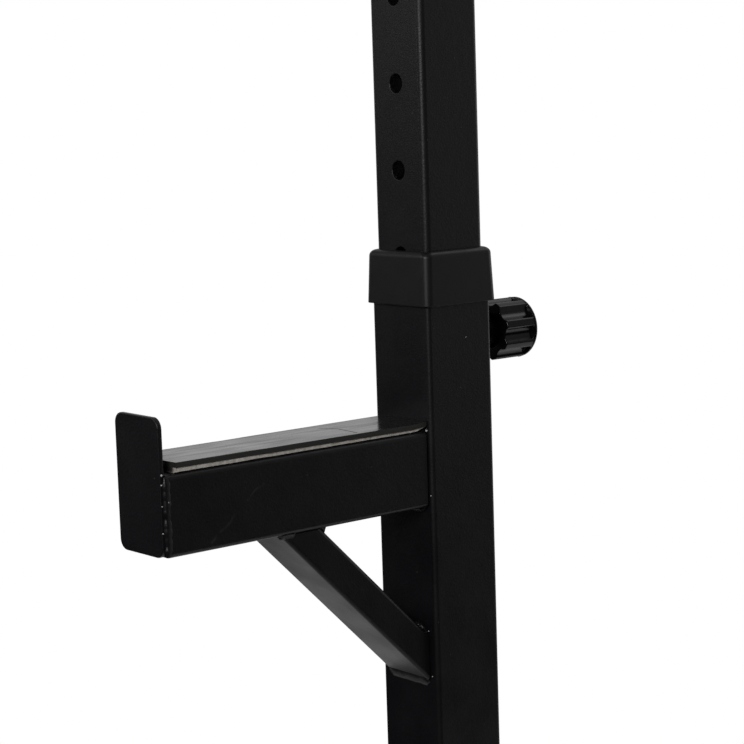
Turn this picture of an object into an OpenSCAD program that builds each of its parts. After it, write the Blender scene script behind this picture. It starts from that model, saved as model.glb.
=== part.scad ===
// Adjustable squat stand, one of a matching pair.
// A welded floor base carries a fixed square lower post. The lower post has a spotter arm
// with an upturned end plate and a diagonal brace. An inner post with a bar cradle slides
// inside it and is held by a sprung pull pin that enters one of the holes in its back.
// Millimetres. +Z is up, the floor is z = 0, the arm points towards -Y, and X is side to side.
// The origin is on the floor in the middle of the base.

/* [Base] */
// Front to back length of the base
base_length = 500; // [420:10:700]
// Side to side width of the base
base_width = 420; // [300:10:600]
// Outside size of the square base tubes
base_tube = 50; // [40:1:60]
// Wall of the base tubes
base_wall = 2; // [1.5:0.5:3]
// Outside corner radius of the base tubes
base_corner = 4; // [3:0.5:6]
// Thickness of the rubber feet
foot_height = 12; // [10:1:20]
// Side of the square rubber feet
foot_side = 44; // [30:1:48]
// Distance from a foot's middle to the side of the base
foot_inset = 32; // [26:1:60]
// Thickness of the rim of each plastic end plug
plug_rim = 3; // [2:0.5:5]
// Depth of the skirt of each plastic end plug
plug_depth = 14; // [8:1:25]
// Wall of the skirt of each plastic end plug
plug_wall = 2; // [1.5:0.5:3]

/* [Lower post] */
// Outside size of the square lower post
post_size = 50; // [50:0.5:60]
// Wall of the lower post
post_wall = 1.5; // [1.5:0.1:2]
// Outside corner radius of the lower post and the arm
post_corner = 3; // [2:0.5:5]
// Middle of the post behind the middle of the base
post_back = 60; // [0:5:100]
// Length of the steel foot plate under the post
foot_plate_length = 190; // [170:5:260]
// Width of the steel foot plate
foot_plate_width = 64; // [60:1:90]
// Thickness of the steel foot plate
foot_plate_thickness = 6; // [4:1:10]
// Distance between the two base bolts
base_bolt_spacing = 156; // [150:2:220]
// Shank diameter of the base bolts
base_bolt_d = 10; // [8:1:12]
// Radial clearance of a bolt in its hole
bolt_clearance = 0.25; // [0.1:0.05:0.5]
// Length of the gusset plates along the foot plate
gusset_length = 38; // [20:1:40]
// Height of the gusset plates up the post
gusset_height = 70; // [40:5:120]
// Thickness of the gusset plates
gusset_thickness = 5; // [3:1:8]

/* [Spotter arm] */
// Height of the top of the arm above the floor
arm_top = 800; // [700:5:900]
// Outside size of the square arm tube
arm_size = 45; // [40:0.5:50]
// Wall of the arm tube
arm_wall = 2; // [1.5:0.5:3]
// Reach from the post to the outer face of the end plate
arm_reach = 186.4; // [150:0.2:260]
// Width of the upturned end plate
plate_width = 41; // [30:0.5:45]
// Thickness of the upturned end plate
plate_thickness = 3; // [2:0.5:6]
// Rise of the end plate above the top of the arm
plate_lip = 30.5; // [20:0.5:60]
// Radius of the end plate's corners
plate_corner = 6; // [2:0.5:12]
// Width of the brace under the arm
brace_width = 38; // [25:1:44]
// Thickness of the brace under the arm
brace_thickness = 20; // [15:0.5:30]
// Outside corner radius of the brace tube
brace_corner = 2.5; // [2:0.5:4]
// Wall of the brace tube
brace_wall = 1.5; // [1:0.5:3]
// Reach of the brace's lower face along the arm
brace_reach = 107.4; // [70:0.2:130]
// Drop of the brace's lower face down the post
brace_drop = 105.4; // [70:0.2:130]
// Thickness of the rubber strip on the arm
strip_thickness = 2.4; // [2:0.2:8]
// Thickness of the adhesive tape under the strip
tape_thickness = 3; // [0.8:0.2:4]
// Distance from the tape's edges to the sides of the strip
tape_inset = 0.5; // [0:0.5:4]
// Gap left bare between the end plate and the strip
strip_tip_gap = 7; // [1:0.5:12]
// Gap between the strip and the post
strip_post_gap = 0.5; // [0.5:0.5:5]
// Gap between the tape and the post, with the bead over the arm in it
tape_post_gap = 2.5; // [1.5:0.5:5]
// Leg length of the weld beads
weld_leg = 4; // [2.5:0.5:6]
// Leg length of the welds in the sharp corners above the brace
brace_weld_leg = 7; // [4:0.5:9]

/* [Collar] */
// Bottom of the collar above the top of the arm
collar_rise = 72.8; // [65:0.2:120]
// Height of the collar
collar_height = 31.7; // [20:0.1:45]
// Outside size of the collar at its bottom
collar_bottom_size = 55.8; // [54:0.2:70]
// Outside size of the collar at its top
collar_top_size = 53.8; // [53:0.2:68]
// Outside corner radius of the collar
collar_corner = 5; // [4:0.5:9]
// Thickness of the lip over the end of the lower post
collar_lip = 3; // [2:0.5:5]
// Height of the rounding at the top edge of the collar
collar_round = 3.8; // [1:0.2:3.8]
// Depth of the liner between the two posts
liner_depth = 22; // [10:1:24]
// Clearance on each side of the sliding post
slide_clearance = 0.2; // [0.1:0.05:0.3]
// Clearance of a moulded piece on a steel tube
mould_clearance = 0.1; // [0.05:0.05:0.2]

/* [Inner post] */
// Outside size of the square inner post
inner_size = 45; // [44.5:0.1:45.4]
// Wall of the inner post
inner_wall = 2; // [1.5:0.5:3]
// Outside corner radius of the inner post
inner_corner = 4; // [3:0.5:6]
// Length of the inner post
inner_length = 780; // [700:10:900]
// Diameter of the height holes
hole_d = 11; // [10.5:0.1:13]
// Distance between two height holes
hole_pitch = 50; // [25:5:60]
// Number of height holes above the pin in this pose
holes_above = 7; // [4:1:9]
// Distance from the highest hole to the top of the post
top_margin = 100; // [60:5:150]
// Least distance from the lowest hole to the bottom of the post
bottom_margin = 80; // [60:5:150]

/* [Lock pin] */
// Height of the pin above the top of the arm
pin_rise = 51; // [40:1:55]
// Diameter of the pin's nose
pin_d = 10; // [8:0.5:10]
// Radial running clearance of the pin
pin_clearance = 0.05; // [0.03:0.01:0.1]
// Length of the nose in front of the back of the post
pin_nose = 7; // [6:0.5:9]
// Diameter of the shoulder that the spring pushes on
pin_shoulder_d = 12.4; // [11:0.2:14]
// Thickness of that shoulder
pin_shoulder_t = 3; // [2:0.5:4]
// Diameter of the rod behind the shoulder
pin_rod_d = 9; // [8:0.5:9]
// Diameter of the threaded end of the rod
pin_thread_d = 8; // [6:0.5:8]
// Distance across the flats of the housing's hexagon
housing_flats = 22; // [19:1:24]
// Length of the housing's hexagon
housing_hex_length = 10; // [6:1:14]
// Diameter of the housing's round neck
housing_neck_d = 18; // [17:0.5:20]
// Full length of the housing
housing_length = 24; // [20:1:30]
// Diameter of the spring chamber in the housing
chamber_d = 13; // [12.5:0.1:15]
// Thickness of the housing's end wall
housing_end = 4; // [3:0.5:6]
// Wire diameter of the lock spring
spring_wire = 1.2; // [0.8:0.1:1.4]
// Mean diameter of the lock spring
spring_mean_d = 11; // [10.6:0.1:11.4]
// Turns of the lock spring
spring_turns = 6; // [4:1:9]

/* [Knob] */
// Diameter over the lobes of the knob
knob_d = 36.8; // [30:0.2:45]
// Distance from the post to the near end of the knob
knob_gap = 20; // [16:0.5:28]
// Length of the knob
knob_length = 24.7; // [20:0.1:35]
// Number of flutes round the knob
knob_flutes = 8; // [6:1:12]
// Radius of each flute
flute_r = 6; // [3:0.5:8]
// Depth of each flute
flute_depth = 3; // [1:0.25:3.5]
// Turn of the knob about the pin, in degrees
knob_turned = 7.5; // [0:0.5:45]
// Thickness of the flange at the far end
flange_thickness = 1.8; // [1:0.1:4]
// Diameter of the hollow that goes over the housing
knob_hollow_d = 22; // [20:0.5:26]
// Depth of that hollow
knob_hollow_depth = 10; // [6:0.5:14]
// Thickness of the web that the rod goes through
knob_web = 3.5; // [2.5:0.5:5]
// Distance across the flats of the knob nut
knob_nut_flats = 13; // [10:1:14]
// Thickness of the knob nut
knob_nut_t = 6.5; // [4:0.5:7]
// Diameter of the nut's pocket in the knob
knob_pocket_d = 17; // [16:0.5:20]
// Diameter of the cover disc in the knob's end
cover_d = 24; // [20:0.5:28]
// Thickness of the cover disc
cover_t = 1.5; // [1:0.25:2.5]

/* [Bar cradle] */
// Width of the cradle from side to side
cradle_width = 50; // [40:1:70]
// Thickness of the cradle's bent plate
cradle_plate = 5; // [4:0.5:8]
// Clear distance between the cradle's two upstands
cradle_opening = 64; // [50:1:80]
// Height of the front upstand above the cradle's seat
cradle_front = 42; // [30:1:80]
// Height of the back upstand above the cradle's seat
cradle_rear = 88; // [50:1:140]
// Height of the outward bend at the tip of the front upstand
cradle_flare = 14; // [6:1:25]
// Inside bend radius of the cradle
cradle_bend = 8; // [5:0.5:14]
// Thickness of the cradle's rubber liner
cradle_liner_t = 3; // [2:0.5:5]
// Distance from the liner's ends to the tips of the upstands
cradle_liner_drop = 10; // [4:1:20]
// Distance from the liner's edges to the cradle's sides
cradle_liner_inset = 2; // [0:0.5:5]

/* [Hidden] */
$fn = 48;
eps = 0.01;
cut = 2;
slab = 0.1;
black_coat = [0.105, 0.105, 0.11];
black_plastic = [0.09, 0.09, 0.095];
black_gloss = [0.05, 0.05, 0.055];
black_rubber = [0.07, 0.07, 0.07];
tape_grey = [0.47, 0.44, 0.41];
zinc = [0.68, 0.69, 0.7];

base_top = foot_height + base_tube;
foot_tube_length = base_width - 2 * plug_rim;
foot_tube_y = base_length / 2 - base_tube / 2;
rail_length = base_length - 2 * base_tube;
foot_x = base_width / 2 - foot_inset;
foot_screw_d = 5;
foot_screw_head_d = 9.5;
foot_screw_head_t = 3;
foot_screw_sunk = 4.5;
foot_recess_d = foot_screw_head_d + 1;
foot_screw_grip = 9;

plate_top = base_top + foot_plate_thickness;
post_bottom = plate_top;
base_bolt_hole_d = base_bolt_d + 2 * bolt_clearance;
bolt_head_d = 2.1 * base_bolt_d;
bolt_head_t = 0.5 * base_bolt_d;
washer_d = 2 * base_bolt_d;
washer_t = 2;
nut_flats = 1.6 * base_bolt_d;
nut_t = 0.84 * base_bolt_d;
bolt_tip = 4;

pin_z = arm_top + pin_rise;
collar_bottom = arm_top + collar_rise;
collar_top = collar_bottom + collar_height;
post_top = collar_top - collar_lip;
post_bore = post_size - 2 * post_wall;
post_front = post_back - post_size / 2;
post_rear = post_back + post_size / 2;

arm_bottom = arm_top - arm_size;
brace_slant = atan(brace_drop / brace_reach);
arm_tube_length = arm_reach - plate_thickness;
plate_y = post_front - arm_reach;
strip_start = plate_y + plate_thickness + strip_tip_gap;

inner_top = pin_z + holes_above * hole_pitch + top_margin;
inner_bottom = inner_top - inner_length;
hole_count = floor((inner_length - top_margin - bottom_margin) / hole_pitch) + 1;
highest_hole = inner_top - top_margin;
glide_size = post_bore - 2 * slide_clearance;
glide_rim = 4;
glide_depth = 20;
passage_size = inner_size + 2 * slide_clearance;
liner_size = post_bore - 2 * mould_clearance;

spring_start = pin_shoulder_t;
spring_end = housing_length - housing_end;
web_start = knob_gap + knob_hollow_depth;
nut_start = web_start + knob_web;
knob_end = knob_gap + knob_length;
rod_end = nut_start + knob_nut_t + 1;

seat_z = inner_top + cradle_plate;

// A square with rounded corners, centred on the origin
module rounded_square(size, r)
{
    square([size - 2 * r, size], center = true);
    square([size, size - 2 * r], center = true);
    for (x = [-1, 1], y = [-1, 1])
        translate([x * (size / 2 - r), y * (size / 2 - r)])
            circle(r = r);
}

// The section of a square tube
module tube_section(size, wall, r)
{
    difference()
    {
        rounded_square(size, r);
        rounded_square(size - 2 * wall, r - wall / 2);
    }
}

// A rectangle with rounded corners, centred on the origin
module rounded_rect(w, h, r)
{
    square([w - 2 * r, h], center = true);
    square([w, h - 2 * r], center = true);
    for (x = [-1, 1], y = [-1, 1])
        translate([x * (w / 2 - r), y * (h / 2 - r)])
            circle(r = r);
}

// Turns local +Z into +Y, with the start at y
module along_y(y)
{
    translate([0, y, 0])
        rotate([-90, 0, 0])
            children();
}

// A bar with the given section in y and z, centred on x = 0 and lying along X
module bar_along_x(points, length)
{
    translate([-length / 2, 0, 0])
        rotate([90, 0, 90])
            linear_extrude(length)
                polygon(points);
}

// The section of a weld bead in a corner at the origin, between two legs, with a full face
function bead(a, b) = [[0, 0], a, 0.62 * (a + b), b];

// The section of a weld bead in a sharp corner at the origin, with a hollow face
function fillet(a, b) = [[0, 0], a, 0.4 * (a + b), b];

// The middle of one of the four floor feet
function foot_places() =
    [for (x = [-1, 1], y = [-1, 1]) [x * foot_x, y * foot_tube_y]];

// The middle of one of the two base bolts
function bolt_places() =
    [for (y = [-1, 1]) [0, post_back + y * base_bolt_spacing / 2]];

module base_rail()
{
    color(black_coat)
        difference()
        {
            translate([0, 0, foot_height + base_tube / 2])
                along_y(-rail_length / 2)
                    linear_extrude(rail_length)
                        tube_section(base_tube, base_wall, base_corner);
            for (p = bolt_places())
                translate([p[0], p[1], foot_height - cut])
                    cylinder(d = base_bolt_hole_d, h = base_tube + 2 * cut);
        }
}

module foot_tube(side)
{
    color(black_coat)
        difference()
        {
            translate([-foot_tube_length / 2, side * foot_tube_y, foot_height + base_tube / 2])
                rotate([0, 90, 0])
                    linear_extrude(foot_tube_length)
                        tube_section(base_tube, base_wall, base_corner);
            for (x = [-foot_x, foot_x])
                translate([x, side * foot_tube_y, foot_height - cut])
                    cylinder(d = foot_screw_d + 2 * pin_clearance, h = base_wall + 2 * cut);
        }
}

module front_foot_tube()
{
    foot_tube(-1);
}

module rear_foot_tube()
{
    foot_tube(1);
}

module foot_end_plugs()
{
    skirt = base_tube - 2 * base_wall - 2 * mould_clearance;
    color(black_plastic)
        for (x = [-1, 1], y = [-1, 1])
            translate([x * foot_tube_length / 2, y * foot_tube_y, foot_height + base_tube / 2])
                rotate([0, x * 90, 0])
                {
                    linear_extrude(plug_rim)
                        rounded_square(base_tube, base_corner);
                    translate([0, 0, -plug_depth])
                        linear_extrude(plug_depth + eps)
                            tube_section(skirt, plug_wall, base_corner - base_wall / 2);
                }
}

module rubber_feet()
{
    color(black_rubber)
        for (p = foot_places())
            translate([p[0], p[1], 0])
                difference()
                {
                    linear_extrude(foot_height)
                        rounded_square(foot_side, base_corner);
                    translate([0, 0, -cut])
                        cylinder(d = foot_recess_d, h = foot_screw_sunk + cut);
                    cylinder(d = foot_screw_d + 2 * pin_clearance, h = foot_height + cut);
                }
}

module foot_screws()
{
    color(zinc)
        for (p = foot_places())
            translate([p[0], p[1], foot_screw_sunk])
            {
                translate([0, 0, -foot_screw_head_t])
                    cylinder(d = foot_screw_head_d, h = foot_screw_head_t);
                translate([0, 0, -eps])
                    cylinder(d = foot_screw_d, h = foot_height - foot_screw_sunk
                        + base_wall + foot_screw_grip + eps);
            }
}

module base_welds()
{
    bead_height = base_tube - 2 * base_corner;
    color(black_coat)
        for (x = [-1, 1], y = [-1, 1])
            translate([x * base_tube / 2, y * rail_length / 2, foot_height + base_corner])
                linear_extrude(bead_height)
                    polygon(bead([x * weld_leg, 0], [0, -y * weld_leg]));
}

module post_foot_plate()
{
    color(black_coat)
        difference()
        {
            translate([0, post_back, base_top])
                linear_extrude(foot_plate_thickness)
                    rounded_rect(foot_plate_width, foot_plate_length, plate_corner);
            for (p = bolt_places())
                translate([p[0], p[1], base_top - cut])
                    cylinder(d = base_bolt_hole_d, h = foot_plate_thickness + 2 * cut);
        }
}

module post_gussets()
{
    toe = gusset_thickness;
    color(black_coat)
        for (y = [-1, 1])
            translate([-gusset_thickness / 2, post_back + y * post_size / 2, plate_top])
                rotate([90, 0, 90])
                    linear_extrude(gusset_thickness)
                        polygon([[0, 0], [y * gusset_length, 0], [y * gusset_length, toe],
                            [y * toe, gusset_height], [0, gusset_height]]);
}

module base_bolts()
{
    color(zinc)
        for (p = bolt_places())
            translate([p[0], p[1], foot_height])
            {
                translate([0, 0, -bolt_head_t])
                    cylinder(d = bolt_head_d, h = bolt_head_t);
                translate([0, 0, -eps])
                    cylinder(d = base_bolt_d, h = base_tube + foot_plate_thickness
                        + washer_t + nut_t + bolt_tip + eps);
            }
}

module base_washers()
{
    color(zinc)
        for (p = bolt_places())
            translate([p[0], p[1], plate_top])
                difference()
                {
                    cylinder(d = washer_d, h = washer_t);
                    translate([0, 0, -cut])
                        cylinder(d = base_bolt_hole_d, h = washer_t + 2 * cut);
                }
}

module base_nuts()
{
    color(zinc)
        for (p = bolt_places())
            translate([p[0], p[1], plate_top + washer_t])
                difference()
                {
                    cylinder(d = nut_flats / cos(30), h = nut_t, $fn = 6);
                    translate([0, 0, -cut])
                        cylinder(d = base_bolt_d, h = nut_t + 2 * cut);
                }
}

module lower_post()
{
    color(black_coat)
        difference()
        {
            translate([0, post_back, post_bottom])
                linear_extrude(post_top - post_bottom)
                    tube_section(post_size, post_wall, post_corner);
            translate([0, 0, pin_z])
                along_y(post_rear - post_wall - cut)
                    cylinder(d = pin_d + 2 * pin_clearance, h = post_wall + 2 * cut);
        }
}

// A fillet on each side of the post's foot, with a break at the gussets
module post_welds()
{
    bead_length = post_size - 2 * post_corner;
    color(black_coat)
    {
        for (x = [-1, 1])
            translate([x * post_size / 2, post_back + bead_length / 2, post_bottom])
                rotate([90, 0, 0])
                    linear_extrude(bead_length)
                        polygon(bead([x * weld_leg, 0], [0, weld_leg]));
        for (x = [-1, 1], y = [-1, 1])
            translate([x * (bead_length + gusset_thickness) / 4, post_back + y * post_size / 2,
                post_bottom])
                bar_along_x(bead([y * weld_leg, 0], [0, weld_leg]),
                    (bead_length - gusset_thickness) / 2);
    }
}

module collar_slab(size, z)
{
    translate([0, post_back, z])
        linear_extrude(slab)
            rounded_square(size, collar_corner);
}

module post_collar()
{
    color(black_plastic)
        difference()
        {
            hull($fn = 32)
            {
                collar_slab(collar_bottom_size, collar_bottom);
                collar_slab(collar_top_size, collar_top - collar_round - slab);
                for (a = [22.5, 45, 67.5, 90])
                    collar_slab(collar_top_size - 2 * collar_round * (1 - cos(a)),
                        collar_top - collar_round * (1 - sin(a)) - slab);
            }
            translate([0, post_back, collar_bottom - cut])
                linear_extrude(collar_height - collar_lip + cut)
                    rounded_square(post_size + 2 * mould_clearance, post_corner);
            translate([0, post_back, collar_top - collar_lip - cut])
                linear_extrude(collar_lip + 2 * cut)
                    rounded_square(passage_size, inner_corner);
        }
    color(black_plastic)
        translate([0, post_back, post_top - liner_depth])
            linear_extrude(liner_depth + eps)
                difference()
                {
                    rounded_square(liner_size, post_corner - post_wall / 2);
                    rounded_square(passage_size, inner_corner);
                }
}

module spotter_arm()
{
    color(black_coat)
        translate([0, 0, arm_top - arm_size / 2])
            along_y(plate_y + plate_thickness)
                linear_extrude(arm_tube_length)
                    tube_section(arm_size, arm_wall, post_corner);
}

module arm_end_plate()
{
    color(black_coat)
        translate([0, 0, arm_bottom + (arm_size + plate_lip) / 2])
            along_y(plate_y)
                linear_extrude(plate_thickness)
                    rounded_rect(plate_width, arm_size + plate_lip, plate_corner);
}

// The section of a flat rectangular tube
module flat_tube_section(w, h, wall, r)
{
    difference()
    {
        rounded_rect(w, h, r);
        rounded_rect(w - 2 * wall, h - 2 * wall, r - wall / 2);
    }
}

// The brace slants from the arm to the post, and its ends are cut to them
module arm_brace()
{
    middle = brace_reach * sin(brace_slant) - brace_thickness / 2;
    color(black_coat)
        translate([0, post_front, arm_bottom])
            intersection()
            {
                rotate([-brace_slant, 0, 0])
                    translate([0, 0, -middle])
                        along_y(-brace_reach)
                            linear_extrude(2 * brace_reach)
                                flat_tube_section(brace_width, brace_thickness, brace_wall,
                                    brace_corner);
                translate([-brace_width, -2 * brace_reach, -2 * brace_reach])
                    cube([2 * brace_width, 2 * brace_reach, 2 * brace_reach]);
            }
}

// The brace's two upper beads lie in the sharp corners that it makes with the arm and the post
module arm_welds()
{
    flat = arm_size - 2 * post_corner;
    side = arm_size - post_corner - plate_corner;
    brace_cut = brace_thickness / sin(brace_slant);
    brace_rise = brace_thickness / cos(brace_slant);
    brace_flat = brace_width - 2 * brace_corner;
    slope = weld_leg * [-cos(brace_slant), sin(brace_slant)];
    long_slope = brace_weld_leg * [-cos(brace_slant), sin(brace_slant)];
    small_leg = min(tape_post_gap, tape_thickness) - slide_clearance;
    step = (arm_size - plate_width) / 2;
    color(black_coat)
    {
        // Under and over the arm, at the post
        translate([0, post_front, arm_bottom])
            bar_along_x(bead([0, -weld_leg], [-weld_leg, 0]), flat);
        translate([0, post_front, arm_top])
            bar_along_x(bead([0, small_leg], [-small_leg, 0]), flat);
        // Down each side of the arm, at the end plate
        for (x = [-1, 1])
            translate([x * plate_width / 2, plate_y + plate_thickness, arm_bottom + plate_corner])
                linear_extrude(side)
                    polygon(bead([x * step, 0], [0, -step]));
        // Under the brace, at the post
        translate([0, post_front, arm_bottom - brace_drop])
            bar_along_x(bead(slope, [0, -weld_leg]), brace_flat);
        // Over the brace, at the arm and at the post
        translate([0, post_front - brace_reach + brace_cut, arm_bottom])
            bar_along_x(fillet([brace_weld_leg, 0], -long_slope), brace_flat);
        translate([0, post_front, arm_bottom - brace_drop + brace_rise])
            bar_along_x(fillet([0, brace_weld_leg], long_slope), brace_flat);
    }
}

module arm_strip_tape()
{
    color(tape_grey)
        translate([-arm_size / 2 + tape_inset, strip_start, arm_top])
            cube([arm_size - 2 * tape_inset, post_front - tape_post_gap - strip_start,
                tape_thickness]);
}

module arm_rubber_strip()
{
    color(black_gloss)
        translate([-arm_size / 2, strip_start, arm_top + tape_thickness])
            cube([arm_size, post_front - strip_post_gap - strip_start, strip_thickness]);
}

module pin_housing()
{
    color(black_coat)
        translate([0, 0, pin_z])
            along_y(post_rear)
                difference()
                {
                    union()
                    {
                        cylinder(d = housing_flats / cos(30), h = housing_hex_length, $fn = 6);
                        cylinder(d = housing_neck_d, h = housing_length);
                    }
                    translate([0, 0, -cut])
                        cylinder(d = chamber_d, h = spring_end + cut);
                    cylinder(d = pin_rod_d + 2 * pin_clearance, h = housing_length + cut);
                }
}

module lock_pin()
{
    tip = 1.5;
    color(zinc)
        translate([0, 0, pin_z])
            along_y(post_rear)
            {
                translate([0, 0, -pin_nose])
                    cylinder(d1 = pin_d - 2 * tip, d2 = pin_d, h = tip);
                translate([0, 0, tip - pin_nose])
                    cylinder(d = pin_d, h = pin_nose - tip + eps);
                cylinder(d = pin_shoulder_d, h = pin_shoulder_t);
                cylinder(d = pin_rod_d, h = web_start);
                cylinder(d = pin_thread_d, h = rod_end);
            }
}

// The least gap between two turns is the pitch less the wire
module lock_spring()
{
    turn_steps = 16;
    sides = 8;
    pitch = (spring_end - spring_start - spring_wire - 2 * slide_clearance) / spring_turns;
    rise = pitch / turn_steps;
    steps = spring_turns * turn_steps;
    ring = [for (i = [0 : steps], k = [0 : sides - 1])
        let (a = 360 * i / turn_steps, b = 360 * k / sides,
            r = spring_mean_d / 2 + spring_wire / 2 * cos(b))
        [r * cos(a), r * sin(a), i * rise + spring_wire / 2 * sin(b)]];
    walls = [for (i = [0 : steps - 1], k = [0 : sides - 1])
        let (n = (k + 1) % sides, p = i * sides, q = p + sides)
        each [[p + k, q + k, q + n], [p + k, q + n, p + n]]];
    first = [for (k = [1 : sides - 2]) [0, k, k + 1]];
    last = [for (k = [1 : sides - 2]) let (p = steps * sides) [p, p + k + 1, p + k]];
    echo(least_gap_of_spring = pitch - spring_wire);
    color(zinc)
        translate([0, 0, pin_z])
            along_y(post_rear + spring_start + spring_wire / 2 + slide_clearance)
                polyhedron(points = ring, faces = concat(walls, first, last));
}

module pull_knob()
{
    flute_ring = knob_d / 2 - flute_depth + flute_r;
    color(black_gloss)
        translate([0, 0, pin_z])
            along_y(post_rear + knob_gap)
                difference()
                {
                    union()
                    {
                        linear_extrude(knob_length - flange_thickness)
                            difference()
                            {
                                circle(d = knob_d);
                                for (i = [0 : knob_flutes - 1])
                                    rotate(knob_turned + 360 * i / knob_flutes)
                                        translate([flute_ring, 0])
                                            circle(r = flute_r);
                            }
                        translate([0, 0, knob_length - flange_thickness - eps])
                            cylinder(d = knob_d, h = flange_thickness + eps);
                    }
                    translate([0, 0, -cut])
                        cylinder(d = knob_hollow_d, h = knob_hollow_depth + cut);
                    cylinder(d = pin_thread_d + 2 * pin_clearance, h = knob_length);
                    translate([0, 0, knob_hollow_depth + knob_web])
                        cylinder(d = knob_pocket_d, h = knob_length);
                    translate([0, 0, knob_length - cover_t])
                        cylinder(d = cover_d, h = cover_t + cut);
                }
}

module knob_nut()
{
    color(zinc)
        translate([0, 0, pin_z])
            along_y(post_rear + nut_start)
                difference()
                {
                    cylinder(d = knob_nut_flats / cos(30), h = knob_nut_t, $fn = 6);
                    translate([0, 0, -cut])
                        cylinder(d = pin_thread_d, h = knob_nut_t + 2 * cut);
                }
}

module knob_cover()
{
    color(black_gloss)
        translate([0, 0, pin_z])
            along_y(post_rear + knob_end - cover_t)
                cylinder(d = cover_d, h = cover_t);
}

module inner_post()
{
    color(black_coat)
        difference()
        {
            translate([0, post_back, inner_bottom])
                linear_extrude(inner_length)
                    tube_section(inner_size, inner_wall, inner_corner);
            for (i = [0 : hole_count - 1])
                translate([0, 0, highest_hole - i * hole_pitch])
                    along_y(post_back - inner_size)
                        cylinder(d = hole_d, h = 2 * inner_size);
        }
}

module inner_post_glide()
{
    skirt = inner_size - 2 * inner_wall - 2 * mould_clearance;
    color(black_plastic)
        translate([0, post_back, inner_bottom])
        {
            translate([0, 0, -glide_rim])
                linear_extrude(glide_rim)
                    rounded_square(glide_size, post_corner - post_wall / 2);
            translate([0, 0, -eps])
                linear_extrude(glide_depth + eps)
                    tube_section(skirt, plug_wall, inner_corner - inner_wall / 2);
        }
}

// A strip bent to a U that follows the cradle, from its inside face outwards
module cradle_profile(gap, t, front, rear, bend)
{
    outer = gap / 2 + t;
    difference()
    {
        union()
        {
            translate([-outer, bend])
                square([2 * outer, rear - bend]);
            translate([-gap / 2 + bend, -t])
                square([gap - 2 * bend, rear]);
            for (y = [-1, 1])
                translate([y * (gap / 2 - bend), bend])
                    circle(r = bend + t);
        }
        translate([-gap / 2, bend])
            square([gap, rear]);
        translate([-gap / 2 + bend, 0])
            square([gap - 2 * bend, rear]);
        for (y = [-1, 1])
            translate([y * (gap / 2 - bend), bend])
                circle(r = bend);
        translate([-outer - cut, front])
            square([outer + cut, rear]);
    }
}

module bar_cradle()
{
    inside = cradle_opening / 2;
    tip = cradle_front + cradle_flare;
    color(black_coat)
        translate([-cradle_width / 2, post_back, seat_z])
            rotate([90, 0, 90])
                linear_extrude(cradle_width)
                {
                    cradle_profile(cradle_opening, cradle_plate, cradle_front, cradle_rear,
                        cradle_bend);
                    polygon([[-inside, cradle_front], [-inside - cradle_flare / 2, tip],
                        [-inside - cradle_flare / 2 - cradle_plate, tip],
                        [-inside - cradle_plate, cradle_front]]);
                }
}

module cradle_liner()
{
    width = cradle_width - 2 * cradle_liner_inset;
    color(black_rubber)
        translate([-width / 2, post_back, seat_z + cradle_liner_t])
            rotate([90, 0, 90])
                linear_extrude(width)
                    cradle_profile(cradle_opening - 2 * cradle_liner_t, cradle_liner_t,
                        cradle_front - cradle_liner_drop, cradle_rear - cradle_liner_drop,
                        cradle_bend - cradle_liner_t);
}

module cradle_welds()
{
    flat = inner_size - 2 * inner_corner;
    color(black_coat)
        for (y = [-1, 1])
            translate([0, post_back + y * inner_size / 2, inner_top])
                bar_along_x(bead([y * weld_leg, 0], [0, -weld_leg]), flat);
}

base_rail();
front_foot_tube();
rear_foot_tube();
foot_end_plugs();
rubber_feet();
foot_screws();
base_welds();
post_foot_plate();
post_gussets();
base_bolts();
base_washers();
base_nuts();
lower_post();
post_welds();
post_collar();
spotter_arm();
arm_end_plate();
arm_brace();
arm_welds();
arm_rubber_strip();
arm_strip_tape();
pin_housing();
lock_pin();
lock_spring();
pull_knob();
knob_nut();
knob_cover();
inner_post();
inner_post_glide();
bar_cradle();
cradle_liner();
cradle_welds();
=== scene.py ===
"""Squat stand, the visible model.

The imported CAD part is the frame. Each class below makes the fine meshes of one sub-assembly in
that frame, dresses them, and hides the plain CAD nodes that they stand for. Sizes are in
millimetres until a mesh is handed to Blender, which works in metres. +Z is up, the arm points
towards -Y, and the origin is on the floor in the middle of the base.
"""

import logging
import math
from dataclasses import dataclass, field
from enum import Enum
from typing import Any, Callable, Sequence

import bmesh
import bpy
import numpy as np
from mathutils import Matrix, Vector, noise


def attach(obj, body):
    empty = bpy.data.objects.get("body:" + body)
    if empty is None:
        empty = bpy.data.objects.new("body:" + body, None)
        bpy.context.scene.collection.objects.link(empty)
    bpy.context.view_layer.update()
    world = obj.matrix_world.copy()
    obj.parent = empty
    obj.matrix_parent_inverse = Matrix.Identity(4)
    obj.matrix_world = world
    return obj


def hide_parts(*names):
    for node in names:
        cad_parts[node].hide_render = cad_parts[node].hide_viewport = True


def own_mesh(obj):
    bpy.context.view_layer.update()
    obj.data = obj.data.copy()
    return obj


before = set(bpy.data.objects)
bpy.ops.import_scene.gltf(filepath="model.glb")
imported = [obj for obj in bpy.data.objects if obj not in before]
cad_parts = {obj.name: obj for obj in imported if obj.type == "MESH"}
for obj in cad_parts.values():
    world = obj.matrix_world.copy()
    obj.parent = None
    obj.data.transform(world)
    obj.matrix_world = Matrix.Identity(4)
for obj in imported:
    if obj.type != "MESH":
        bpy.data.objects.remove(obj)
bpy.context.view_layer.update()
LOG = logging.getLogger("squat_stand")
MM = 0.001

Tree = bpy.types.NodeTree
Socket = bpy.types.NodeSocket
Pair = tuple[float, float]
Triple = tuple[float, float, float]
# One stop of a turned profile: a radius, or a function from the angle to it, and a height
Stop = tuple[float | Callable[[float], float], float]

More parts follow.
